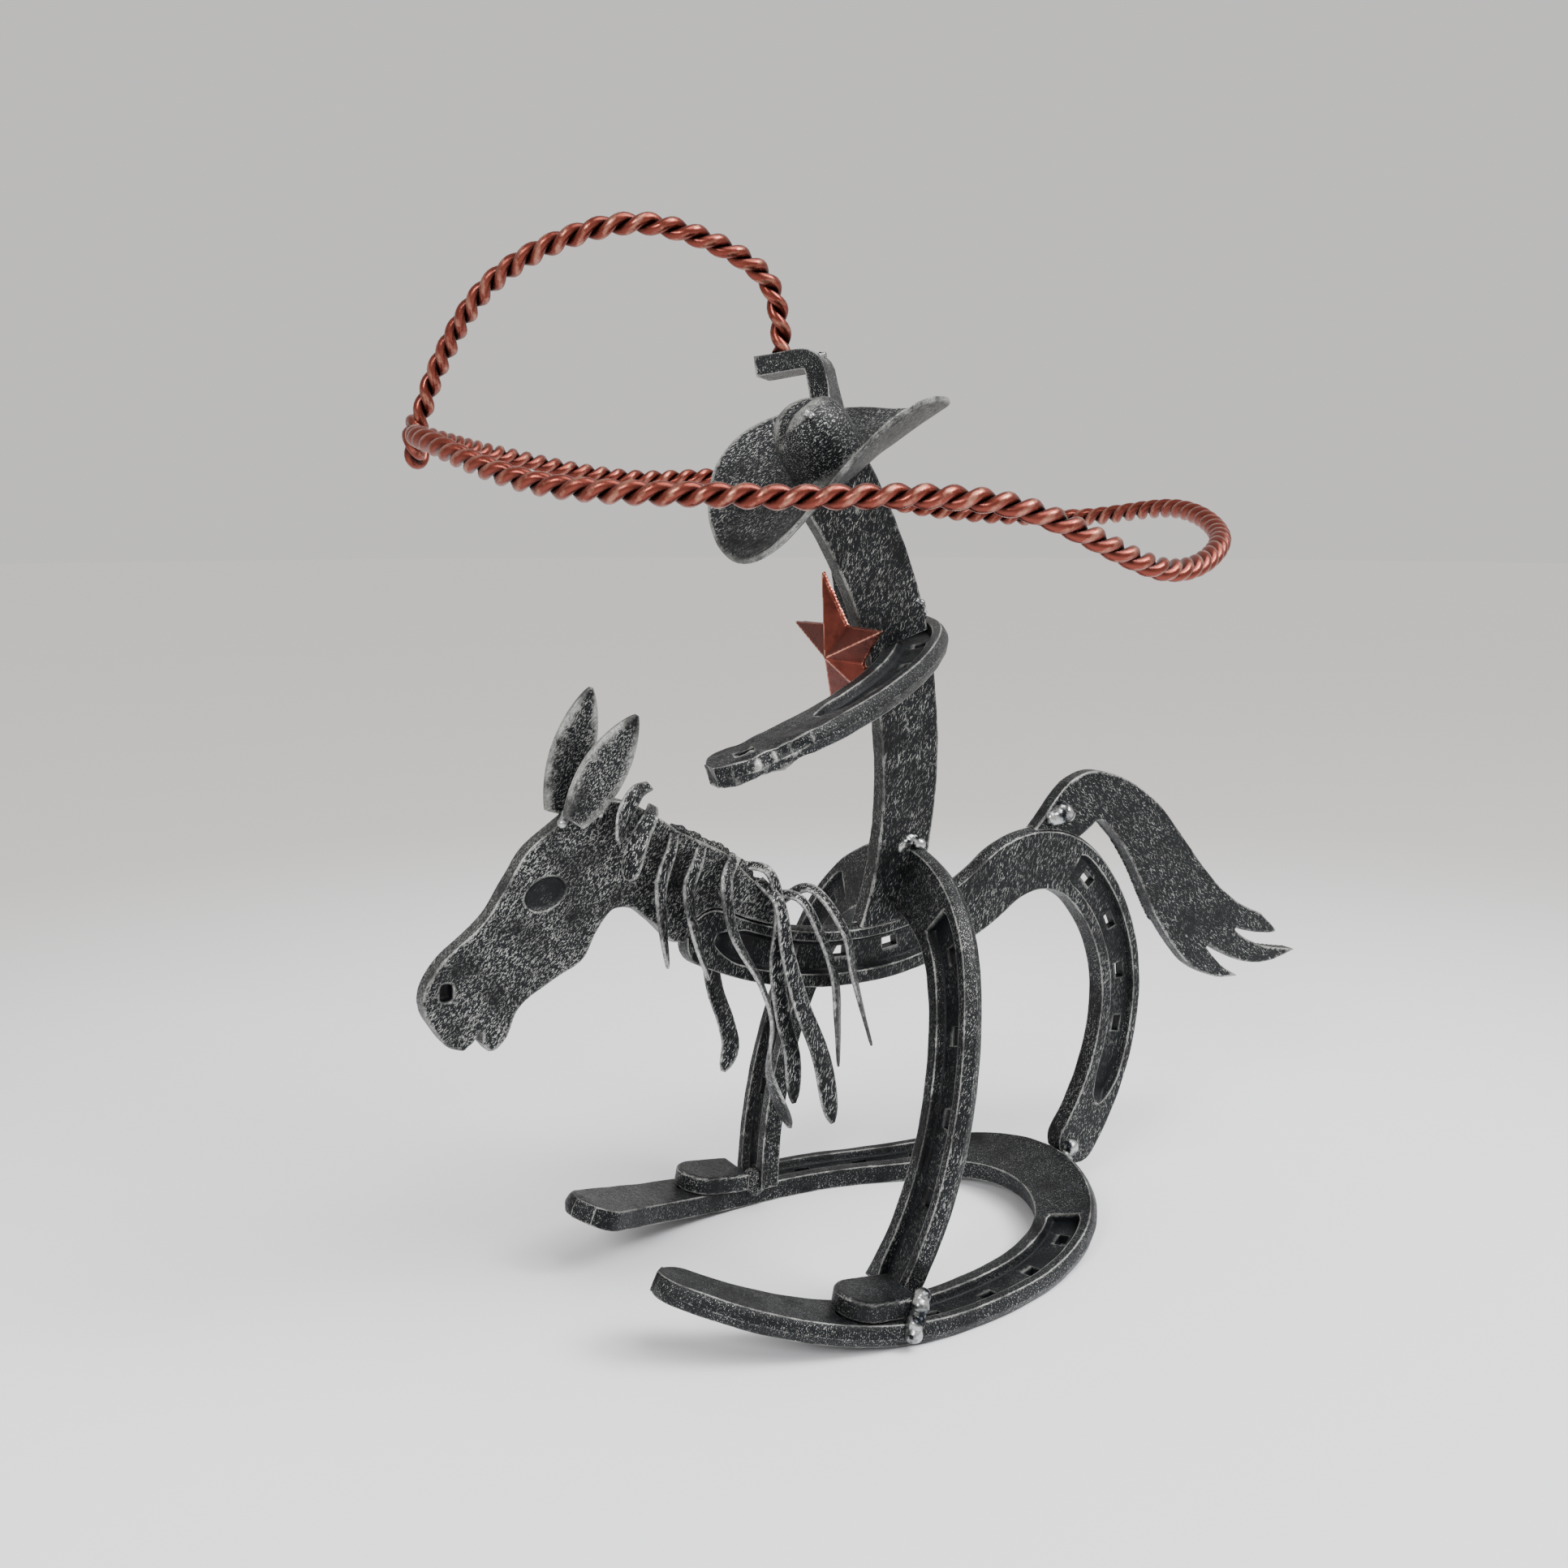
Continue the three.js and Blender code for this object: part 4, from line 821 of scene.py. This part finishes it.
# Rider's arms
# A shoe lies round the rider's back: its near branch is the lowered arm, with crease and heel hole on top,
# and its far branch is bent up past the hat and folded over into the raised hand.
ARM_BRANCH, ARM_BRANCH_RADIUS = 100, 100
ARM_REACH = TOE_LENGTH + ARM_BRANCH
# The station at which the far branch leaves the shoe's plan and is bent up
ARM_BEND = -16
arm_line = shoe_line(ARM_BRANCH_RADIUS)


def turned(roll, pitch, yaw):
    """The turn that rolls, then pitches and then yaws a piece."""
    (cr, sr), (cp, sp), (cy, sy) = [(math.cos(a), math.sin(a)) for a in (roll, pitch, yaw)]
    about_x = np.array(((1, 0, 0), (0, cr, -sr), (0, sr, cr)))
    about_y = np.array(((cp, 0, sp), (0, 1, 0), (-sp, 0, cp)))
    about_z = np.array(((cy, -sy, 0), (sy, cy, 0), (0, 0, 1)))
    return about_z @ about_y @ about_x


arm_turn = turned(-0.152, -0.255, 0.424)
ARM_CENTRE = (-27.5, 22.5, 172.3)


def place_on_arm(station, across, up):
    x, y, out_x, out_y = arm_line(station)
    return arm_turn @ np.array((x + out_x * across, y + out_y * across, up - BAR)) + ARM_CENTRE


def unit(vector):
    """The vector's direction."""
    return np.asarray(vector, float) / np.linalg.norm(vector)


def bend(start, corner, end):
    """Points of a smooth bend from a start round a corner to an end."""
    shares = np.linspace(0, 1, 60)[:, None]
    return (1 - shares) ** 2 * start + 2 * shares * (1 - shares) * corner + shares**2 * end


bend_start = place_on_arm(ARM_BEND, 0, BAR / 2)
ELBOW_BEND, WRIST_BEND, HAND_LENGTH = 9, 4.5, 17.5
bend_corner = bend_start + ELBOW_BEND * unit(bend_start - place_on_arm(ARM_BEND - 1, 0, BAR / 2))
arm_top = np.array((-1.2, 40, 257))
upward = unit(arm_top - bend_corner)
hand_corner = arm_top + WRIST_BEND * upward
hand_out = unit((-0.72, 0.7, -0.15))
limb = np.concatenate((
    bend(bend_start, bend_corner, bend_corner + ELBOW_BEND * upward),
    arm_top[None],
    bend(arm_top, hand_corner, hand_corner + WRIST_BEND * hand_out),
    (hand_corner + HAND_LENGTH * hand_out)[None],
))
limb_lengths = np.concatenate(([0], np.cumsum(np.linalg.norm(np.diff(limb, axis=0), axis=1))))
limb_end = limb_lengths[-1]
web_start = unit(place_on_arm(ARM_BEND, 1, BAR / 2) - bend_start)


def on_limb(length):
    """The point of the raised arm's centreline at a length from its bend."""
    length = min(limb_end, max(0.0, length))
    return np.array([np.interp(length, limb_lengths, limb[:, k]) for k in range(3)])


def place_on_limb(station, across, up):
    length = station - ARM_BEND
    along = unit(on_limb(length + 0.4) - on_limb(length - 0.4))
    side = web_start + (unit((0.7, 0.72, 0)) - web_start) * min(1, length / limb_end * 1.3)
    side = unit(side - along * side.dot(along))
    return on_limb(length) + side * across - np.cross(along, side) * (up - BAR / 2)


def arm_place(station, across, up):
    return place_on_arm(station, across, up) if station < ARM_BEND else place_on_limb(station, across, up)


arm_creases = ((-30, -112),)


def arm_bar(name, creases=(), clearance=0.0):
    return shoe(name, -ARM_REACH, ARM_BEND + limb_end, arm_place, abs, creases, (7, 0), clearance)


arms = arm_bar("rider_arms", arm_creases)
hammer(arms, FORGED, 6, 4)
# The lowered hand was cut off with a torch, which has left it rough for this far round the cut
torch_cut, TORCH_REACH = Vector(place_on_arm(14 - ARM_REACH, 7, 2)), 20
hammer(arms, 1.9, 3.8, 5, lambda spot: max(0.0, 1 - (spot - torch_cut).length / TORCH_REACH))
HOLE_FROM_HEEL, HOLE_LONG, HOLE_WIDE = 10, 2.8, 1.8
oval = [(-ARM_REACH + HOLE_FROM_HEEL + HOLE_LONG * math.cos(a), HOLE_WIDE * math.sin(a))
        for a in np.linspace(0, 2 * math.pi, 25)[:-1]]
heel_hole = punch("heel_hole", oval, place_on_arm, (-1, 1, 5, 7))
cut(arms, nail_holes(arm_creases, place_on_arm, (0.2, 0.45, 0.7)) + [heel_hole])
dress(arms, ["arm_shoe"], iron_level)

# Hat
# A disc of sheet iron curled up at both sides for the brim, tilted to the front, with a beaten dome welded
# on it for the crown.
hat_turn = turned(-0.018, -0.581, 0.086)
HAT_CENTRE = (-21, 2.7, 227.7)
# How much the sides curl up and how much front and back dip, by the square of the distance in mm
SIDE_CURL, FRONT_DIP = 0.0126, 0.0018
BRIM_LONG, BRIM_WIDE, BRIM_THICK = 38.3, 33.7, 1.6
CROWN_LONG, CROWN_WIDE = 11.6, 9.5


def curled(x, y, z):
    return hat_turn @ np.array((x, y, z + SIDE_CURL * y * y - FRONT_DIP * x * x)) + HAT_CENTRE


def turned_disc(name, profile, long, wide, count=72, rule=None):
    """A closed profile of shares of the radius and heights, turned round and curled like the brim."""
    rings = []
    for share, height in profile:
        ring = []
        for a in np.linspace(0, 2 * math.pi, count + 1)[:-1]:
            x, y = share * long * math.cos(a), share * wide * math.sin(a)
            ring.append(curled(x, y, rule(y, height) if rule else height))
        rings.append(ring)
    return wrapped(name, rings)


shares = [0.01, 0.12, 0.25, 0.38, 0.5, 0.62, 0.74, 0.86, 0.95, 0.985]
profile = [(s, -BRIM_THICK) for s in shares] + [(0.997, -1.35), (1, -0.8), (0.997, -0.25)]
brim = turned_disc("hat_brim_sheet", profile + [(s, 0.0) for s in shares[::-1]], BRIM_LONG, BRIM_WIDE)
hammer(brim, 0.25, 9, 5)
# Beaten thin sheet holds its enamel, so it is darker than the plates and lightly streaked
iron_sheet = painted_iron("black enamelled sheet iron, beaten and lightly brushed", (0.32, 1.4), 0.8, 0.58)
dress(brim, ["hat_brim"], iron_sheet, sharp=35)
dome = [(0.01, 0.3), (0.5, 0.3), (0.97, 0.3), (1, 0.6), (1, 5), (1, 9.9), (0.985, 12.4), (0.93, 15),
        (0.86, 17), (0.76, 18.9), (0.62, 20.4), (0.45, 21.3), (0.3, 21.8), (0.15, 22), (0.01, 22)]
DENT_DEPTH, DENT_WIDE, DENT_FROM, DENT_FULL = 2.4, 2.9, 15, 19.8


def dented(y, height):
    """Height on the crown with its dent, which runs from front to back along the top."""
    fade = min(1, max(0, (height - DENT_FROM) / (DENT_FULL - DENT_FROM)))
    return height - DENT_DEPTH * math.exp(-((y / DENT_WIDE) ** 2)) * fade


crown = turned_disc("hat_crown_dome", dome, CROWN_LONG, CROWN_WIDE, 64, dented)
hammer(crown, 0.3, 6, 6)
dress(crown, ["hat_crown"], iron_sheet, sharp=40)

# Rider's trunk
# One branch of a shoe stood on end, its flat back to the near side, welded to the belly below and the hat
# above, with the arms let into it.
TRUNK_RUNS = ((18.5, 111), (116.7, 136.9))
TRUNK_REACH = sum(length for length, radius in TRUNK_RUNS)
TRUNK_X, TRUNK_Z, TRUNK_SLOPE = -4.8, 100, 1.204
trunk_line = arc_path(TRUNK_X, TRUNK_Z, TRUNK_SLOPE, TRUNK_RUNS)
# The bar widens by this much to its upper end, and runs on for this far inside the pieces it is welded to
TRUNK_WIDENS, TRUNK_INTO = 8, 8


def place_on_trunk(station, across, up):
    along = max(0, station)
    x, z, angle = trunk_line(along)
    x += math.cos(angle) * (station - along) + math.sin(angle) * across
    z += math.sin(angle) * (station - along) - math.cos(angle) * across
    return x, up - BAR / 2, z


def trunk_section(station):
    """Corners of the trunk's bar, plain and without a crease."""
    half = (BAR_WIDTH + TRUNK_WIDENS * max(0, station) / TRUNK_REACH) / 2
    return [(-half, 0), (0.87 * half, 0), (half, 0.42 * BAR), (0.94 * half, 0.8 * BAR),
            (0.86 * half, BAR), (-0.95 * half, BAR)]


trunk_stations = np.linspace(-TRUNK_INTO, TRUNK_REACH + TRUNK_INTO, 100)
trunk = forge("rider_trunk", trunk_stations, trunk_section, place_on_trunk)
hammer(remesh(trunk, 0.45), FORGED, 6, 7)
leg_room = shoe("leg_room", -LEG_REACH, LEG_REACH, place_on_legs, abs, rounds=(0, 0), clearance=GAP, pitch=3)
arm_room = arm_bar("arm_room", clearance=GAP)
under, over = -BRIM_THICK - GAP, 45
over_brim = [(0.01, under), (1, under), (1, over), (0.01, over)]
hat_room = turned_disc("hat_room", over_brim, BRIM_LONG, BRIM_WIDE)
cut(trunk, [leg_room, hat_room], [body_room, arm_room])
dress(trunk, ["trunk"], iron_upright)

# Star
# Pressed from thin sheet, hollow behind, its five ridges running to the points. It is coppered and leans
# against the rider's chest.
STAR_POINT, STAR_NOTCH, STAR_RISE, STAR_THICK = 23, 9.4, 6, 1.3
# The lower near point ends behind the arm and so is shorter
HIDDEN_POINT, HIDDEN_REACH = 6, 20.5
STAR_LEAN, STAR_X, STAR_Z = 0.3, -19.5, 179


def star_shell(depth):
    """A five-pointed pyramid, moved back by a depth and leaned against the chest."""
    points = [(depth - STAR_RISE, 0, 0)]
    for i in range(10):
        reach = HIDDEN_REACH if i == HIDDEN_POINT else STAR_POINT if i % 2 == 0 else STAR_NOTCH
        angle = i * math.pi / 5
        points.append((depth, reach * math.sin(angle), reach * math.cos(angle)))
    flat, steep = math.cos(STAR_LEAN), math.sin(STAR_LEAN)
    return [(x * flat - z * steep + STAR_X, y, x * steep + z * flat + STAR_Z) for x, y, z in points]


star_faces = []
for i in range(10):
    a, b = 1 + i, 1 + (i + 1) % 10
    star_faces += [(0, a, b), (11, 11 + b, 11 + a), (a, 11 + a, 11 + b, b)]
star = mesh_object("chest_star", star_shell(0) + star_shell(STAR_THICK), star_faces)


def coppered(name):
    """Copper paint over steel: rubbed tops with a painted highlight, hollows of dark patina and painted
    shade.
    """
    material, tree, shader, place = new_paint(name)
    crest = add(tree, "ShaderNodeAttribute", {"attribute_name": "crest"}).outputs["Fac"]
    # Stains in the paint are about 4 mm across
    stain_size = 1 / 260
    stains = add(tree, "ShaderNodeTexNoise", None,
                 {"Vector": place, "Scale": 1 / stain_size, "Detail": 4.0, "Roughness": 0.6}).outputs["Fac"]
    uneven = add(tree, "ShaderNodeMath", {"operation": "MULTIPLY_ADD"},
                 {0: stains, 1: 0.9, 2: -0.45}).outputs[0]
    height = add(tree, "ShaderNodeMath", {"operation": "ADD"}, {0: crest, 1: uneven}).outputs[0]
    # Painted shade turns the paint near black where the surface sinks away, and a painted highlight makes it
    # pale pink on the highest crests
    deep, high = [add(tree, "ShaderNodeMapRange", None,
                      {"Value": height, "From Min": start, "From Max": end}).outputs[0]
                  for start, end in ((-0.6, 0.35), (0.85, 1.4))]
    body_colour = add(tree, "ShaderNodeMix", {"data_type": "RGBA"},
                      {0: deep, 6: linear("#100706"), 7: linear("#74382e")}).outputs[2]
    colour = add(tree, "ShaderNodeMix", {"data_type": "RGBA"},
                 {0: high, 6: body_colour, 7: linear("#cf9a84")}).outputs[2]
    gloss = add(tree, "ShaderNodeMapRange", None,
                {"Value": stains, "From Min": 0.3, "From Max": 0.7, "To Min": 0.2, "To Max": 0.4}).outputs[0]
    bump = add(tree, "ShaderNodeBump", None,
               {"Height": stains, "Strength": 0.35, "Distance": 0.0004}).outputs["Normal"]
    feed(tree, shader, {"Base Color": colour, "Metallic": 0.86, "Roughness": gloss, "Normal": bump})
    return material


copper = coppered("copper-painted steel sheet")
remesh(star, 0.32)
dress(star, ["star"], copper)
# The star's sharp ridges get the copper's rubbed tops and painted highlight, and its notches the painted
# shade
star_crest = np.zeros(len(star.data.vertices), np.float32)
star.data.attributes["worn"].data.foreach_get("value", star_crest)
star.data.attributes.new("crest", "FLOAT", "POINT").data.foreach_set("value", star_crest * 1.4)

# Lasso
# Two steel wires twisted together to the left, coppered. The rope rises out of the hand, comes over and
# down, and is hooked round the start of the loop that swings about the rider.
def node_tree(name, sizes):
    """An empty geometry tree with a named input for each size."""
    tree = bpy.data.node_groups.new(name, "GeometryNodeTree")
    tree.interface.new_socket("Path", in_out="INPUT", socket_type="NodeSocketGeometry")
    for size, kind in sizes:
        tree.interface.new_socket(size, in_out="INPUT", socket_type="NodeSocket" + kind)
    tree.interface.new_socket("Made", in_out="OUTPUT", socket_type="NodeSocketGeometry")
    return tree


rope_tree = node_tree("twisted wires", (("Wire", "Float"), ("Turn length", "Float"), ("Step", "Float"),
                                        ("Finish", "Material")))
given = add(rope_tree, "NodeGroupInput").outputs
line = add(rope_tree, "GeometryNodeResampleCurve", {"mode": "LENGTH"},
           {"Curve": given["Path"], "Length": given["Step"]})
kept = add(rope_tree, "GeometryNodeCaptureAttribute", {"domain": "POINT"}, {"Geometry": line.outputs[0]})
kept.capture_items.new("VECTOR", "axis")
rope_tree.links.new(add(rope_tree, "GeometryNodeInputPosition").outputs[0], kept.inputs[1])
normal = add(rope_tree, "GeometryNodeInputNormal").outputs[0]
tangent = add(rope_tree, "GeometryNodeInputTangent").outputs[0]
beside = add(rope_tree, "ShaderNodeVectorMath", {"operation": "CROSS_PRODUCT"},
             {0: tangent, 1: normal}).outputs[0]
length = add(rope_tree, "GeometryNodeSplineParameter").outputs["Length"]
turns = add(rope_tree, "ShaderNodeMath", {"operation": "DIVIDE"}, {0: length, 1: given["Turn length"]})
angle = add(rope_tree, "ShaderNodeMath", {"operation": "MULTIPLY"}, {0: turns.outputs[0], 1: -2 * math.pi})
# The wires' centres lie a little less than their radius from the rope's, so that they press together
reach, radius = [add(rope_tree, "ShaderNodeMath", {"operation": "MULTIPLY"},
                     {0: given["Wire"], 1: share}).outputs[0] for share in (0.47, 0.53)]
joined = add(rope_tree, "GeometryNodeJoinGeometry")
for strand in (0, 1):
    phase = add(rope_tree, "ShaderNodeMath", {"operation": "ADD"},
                {0: angle.outputs[0], 1: strand * math.pi})
    swing = []
    for direction, wave in ((normal, "COSINE"), (beside, "SINE")):
        share = add(rope_tree, "ShaderNodeMath", {"operation": wave}, {0: phase.outputs[0]}).outputs[0]
        swing.append(add(rope_tree, "ShaderNodeVectorMath", {"operation": "SCALE"},
                         {0: direction, "Scale": share}).outputs[0])
    swung = add(rope_tree, "ShaderNodeVectorMath", {"operation": "ADD"}, dict(enumerate(swing))).outputs[0]
    offset = add(rope_tree, "ShaderNodeVectorMath", {"operation": "SCALE"}, {0: swung, "Scale": reach})
    wound = add(rope_tree, "GeometryNodeSetPosition", None,
                {"Geometry": kept.outputs[0], "Offset": offset.outputs[0]})
    centre = add(rope_tree, "GeometryNodeCaptureAttribute", {"domain": "POINT"},
                 {"Geometry": wound.outputs[0]})
    centre.capture_items.new("VECTOR", "centre")
    rope_tree.links.new(add(rope_tree, "GeometryNodeInputPosition").outputs[0], centre.inputs[1])
    round_wire = add(rope_tree, "GeometryNodeCurvePrimitiveCircle", None,
                     {"Resolution": 14, "Radius": radius})
    wire = add(rope_tree, "GeometryNodeCurveToMesh", None,
               {"Curve": centre.outputs[0], "Profile Curve": round_wire.outputs[0], "Fill Caps": True})
    # How far a wire looks away from the middle of the rope: rubbed bright with a painted highlight where it
    # does, painted shade where it turns into the groove
    here = add(rope_tree, "GeometryNodeInputPosition").outputs[0]
    looks = []
    for point, origin in ((here, centre.outputs[1]), (centre.outputs[1], kept.outputs[1])):
        apart = add(rope_tree, "ShaderNodeVectorMath", {"operation": "SUBTRACT"}, {0: point, 1: origin})
        looks.append(add(rope_tree, "ShaderNodeVectorMath", {"operation": "NORMALIZE"},
                         {0: apart.outputs[0]}).outputs[0])
    crest = add(rope_tree, "ShaderNodeVectorMath", {"operation": "DOT_PRODUCT"}, dict(enumerate(looks)))
    stored = add(rope_tree, "GeometryNodeStoreNamedAttribute", {"data_type": "FLOAT", "domain": "POINT"},
                 {"Geometry": wire.outputs[0], "Name": "crest", "Value": crest.outputs["Value"]})
    rope_tree.links.new(stored.outputs[0], joined.inputs[0])
real = add(rope_tree, "GeometryNodeRealizeInstances", None, {"Geometry": joined.outputs[0]})
smooth = add(rope_tree, "GeometryNodeSetShadeSmooth", None, {"Geometry": real.outputs[0]})
painted = add(rope_tree, "GeometryNodeSetMaterial", None,
              {"Geometry": smooth.outputs[0], "Material": given["Finish"]})
add(rope_tree, "NodeGroupOutput", None, {"Made": painted.outputs[0]})


def grow(name, lines, tree, sizes):
    """Runs a tree on smooth lines and returns what it makes as a plain mesh."""
    curve = bpy.data.curves.new(name, "CURVE")
    curve.dimensions = "3D"
    for line in lines:
        spline = curve.splines.new("POLY")
        spline.points.add(len(line) - 1)
        for point, spot in zip(spline.points, metres(line)):
            point.co = (*spot, 1)
    carrier = bpy.data.objects.new(name + "_line", curve)
    bpy.context.scene.collection.objects.link(carrier)
    maker = carrier.modifiers.new(name, "NODES")
    maker.node_group = tree
    for socket in tree.interface.items_tree:
        if socket.in_out == "INPUT" and socket.name in sizes:
            maker[socket.identifier] = sizes[socket.name]
    ready = carrier.evaluated_get(bpy.context.evaluated_depsgraph_get())
    mesh = bpy.data.meshes.new_from_object(ready)
    bpy.data.objects.remove(carrier)
    piece = bpy.data.objects.new(name, mesh)
    bpy.context.scene.collection.objects.link(piece)
    return piece


# The rope ends in a hook that turns a little more than once round the loop
HOOK_X, HOOK_Y, HOOK_TOP, HOOK_TURN = -99.6, 118.2, 243.5, 2.1 * math.pi
HOOK_WIDE, HOOK_HIGH = 5.6, 5.4
hook = []
for around in np.linspace(0, HOOK_TURN, 12):
    aside = HOOK_WIDE * math.sin(around)
    hook.append((HOOK_X + 0.5 * aside, HOOK_Y + 0.85 * aside, HOOK_TOP - HOOK_HIGH * (1 - math.cos(around))))
riser = through([(-12.3, 44.5, 262.6), (-12.3, 44.5, 265.6), (-18, 41.3, 281.3), (-31.8, 39.5, 289.4),
                 (-56.6, 43.8, 295.6), (-73.6, 56.9, 292.4), (-89, 79.2, 281.2), (-96.6, 105.3, 259),
                 (-99.2, 116.5, 243)] + hook[1:], 12)
# The loop's turns from its start to its end, and its heights at even steps between them
LOOP_X, LOOP_Y, LOOP_RADIUS, LOOP_START, LOOP_TURN = 6.2, 55, 122, 2.6, 6.263
heights = (240, 236.5, 224, 221, 219.5, 202.2, 209, 217.5, 214, 217, 229, 228.5, 235.5, 240)
around_loop = np.linspace(LOOP_START, LOOP_START + LOOP_TURN, len(heights))
loop = through([(LOOP_X + LOOP_RADIUS * math.cos(angle), LOOP_Y + LOOP_RADIUS * math.sin(angle), height)
                for angle, height in zip(around_loop, heights)], 16)
copper_wire = coppered("copper-painted steel wire")
lasso = grow("lasso_rope", [riser, loop], rope_tree,
             {"Wire": 0.0032, "Turn length": 0.0142, "Step": 0.0009, "Finish": copper_wire})
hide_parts("lasso")
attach(lasso, "root")

# Weld beads
# Where pieces meet the welder has left lumpy beads, each a run of drops of different size that melt
# together. Most are bare filler, brushed bright, and those at the far foot and the mane are painted over.
bead_tree = node_tree("weld bead", (("Drop", "Float"), ("Spacing", "Float"), ("Grain", "Float"),
                                    ("Seed", "Int"), ("Finish", "Material")))
# The smallest and the largest drop as shares of the given one, and how far a drop lies astray, in metres
SMALL_DROP, LARGE_DROP, ASTRAY = 0.7, 1.15, 0.0005
given = add(bead_tree, "NodeGroupInput").outputs
run = add(bead_tree, "GeometryNodeResampleCurve", {"mode": "LENGTH"},
          {"Curve": given["Path"], "Length": given["Spacing"]})
drop = add(bead_tree, "GeometryNodeMeshIcoSphere", None, {"Radius": given["Drop"], "Subdivisions": 3})
varied = add(bead_tree, "FunctionNodeRandomValue", {"data_type": "FLOAT"},
             {"Seed": given["Seed"], 2: SMALL_DROP, 3: LARGE_DROP})
jitter = add(bead_tree, "FunctionNodeRandomValue", {"data_type": "FLOAT_VECTOR"},
             {"Seed": given["Seed"], 0: (-ASTRAY,) * 3, 1: (ASTRAY,) * 3})
moved = add(bead_tree, "GeometryNodeSetPosition", None,
            {"Geometry": run.outputs[0], "Offset": jitter.outputs[0]})
drops = add(bead_tree, "GeometryNodeInstanceOnPoints", None,
            {"Points": moved.outputs[0], "Instance": drop.outputs[0], "Scale": varied.outputs[1]})
real = add(bead_tree, "GeometryNodeRealizeInstances", None, {"Geometry": drops.outputs[0]})
melt = add(bead_tree, "GeometryNodeMeshToVolume", {"resolution_mode": "VOXEL_SIZE"},
           {"Mesh": real.outputs[0], "Voxel Size": given["Grain"]})
skin = add(bead_tree, "GeometryNodeVolumeToMesh", {"resolution_mode": "GRID"}, {"Volume": melt.outputs[0]})
smooth = add(bead_tree, "GeometryNodeSetShadeSmooth", None, {"Geometry": skin.outputs[0]})
painted = add(bead_tree, "GeometryNodeSetMaterial", None,
              {"Geometry": smooth.outputs[0], "Material": given["Finish"]})
add(bead_tree, "NodeGroupOutput", None, {"Made": painted.outputs[0]})
# Bare filler glints like new steel between burnt spots, which are about 3.5 mm across
filler, tree, shader, place = new_paint("bright weld filler")
spot_size = 1 / 280
mottle = add(tree, "ShaderNodeTexNoise", None, {"Vector": place, "Scale": 1 / spot_size, "Detail": 3.0})
burnt = add(tree, "ShaderNodeMapRange", None,
            {"Value": mottle.outputs["Fac"], "From Min": 0.4, "From Max": 0.58}).outputs[0]
metal = add(tree, "ShaderNodeMix", {"data_type": "RGBA"},
            {0: burnt, 6: linear("#1b1e22"), 7: linear("#a9abaa")}).outputs[2]
feed(tree, shader, {"Base Color": metal, "Metallic": 0.9, "Roughness": 0.24})
# Place, piece that the bead is laid on, its points, size of a drop and finish
beads = (
    ("ears", head, ((-107, -3.4, 143), (-104, -3.4, 144), (-100, -3.4, 143), (-95, -3.4, 141.5)), 1.5,
     filler),
    ("near_foot", base, ((-33.5, -59, 5), (-33, -58.5, 7), (-32, -57.5, 9), (-30.5, -55, 10)), 3.4, filler),
    ("near_boot", None, ((-31, -56, 7.5), (-30, -55.5, 9.5), (-29, -55, 11.5), (-28, -54.5, 13)), 2.7,
     filler),
    ("far_foot", legs, ((-30, 41.3, 6), (-30, 42, 8.5), (-29.5, 41.5, 10)), 3.7, iron_plate),
    ("hind_foot", body, ((62, -3, 7), (63.5, -3.3, 10), (65.5, -3.3, 13), (67, -3, 15)), 3.0, filler),
    ("tail", tail, ((56.5, -3, 124.5), (59.5, -3, 126), (62.5, -3, 124.5)), 2.9, filler),
    ("seat", trunk, ((-1, -3, 121.5), (1.5, -3, 123.5), (4, -3, 123.5), (6, -3, 121.5)), 1.9, filler),
    ("back", trunk, ((4, -3, 192.5), (7, -3, 190.5), (9, -2, 188.5)), 0.9, filler),
    ("hand", arms, ((-5, 40, 260), (-1.5, 40, 262.3), (2, 40, 264)), 0.8, filler),
    ("crown", crown, ((-35.3, -5, 243.6), (-33, -5.5, 242.2)), 1.1, filler),
    ("mane", head, ((-73, -1, 134.5), (-64, -1, 129.5), (-56, -1, 125), (-49, -1, 118.5), (-43, -1, 110)),
     1.5, iron_plate),
)
for number, (place, holder, points, size, finish) in enumerate(beads):
    laid = [Vector(point) for point in points]
    if holder:
        laid = [holder.closest_point_on_mesh(Vector(metres(point)))[1] * 1000 - Vector((0, MIDDLE, 0))
                for point in points]
    # Drops lie half their size apart, so that they melt into one bead
    bead = grow("weld_" + place, [through(laid, 8)], bead_tree,
                {"Drop": size / 1000, "Spacing": size / 2000, "Grain": 0.0003, "Seed": number,
                 "Finish": finish})
    hammer(bead, 0.3, 2.6, number)
    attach(bead, "root")

for spare in (body_room, arm_room):
    bpy.data.objects.remove(spare)
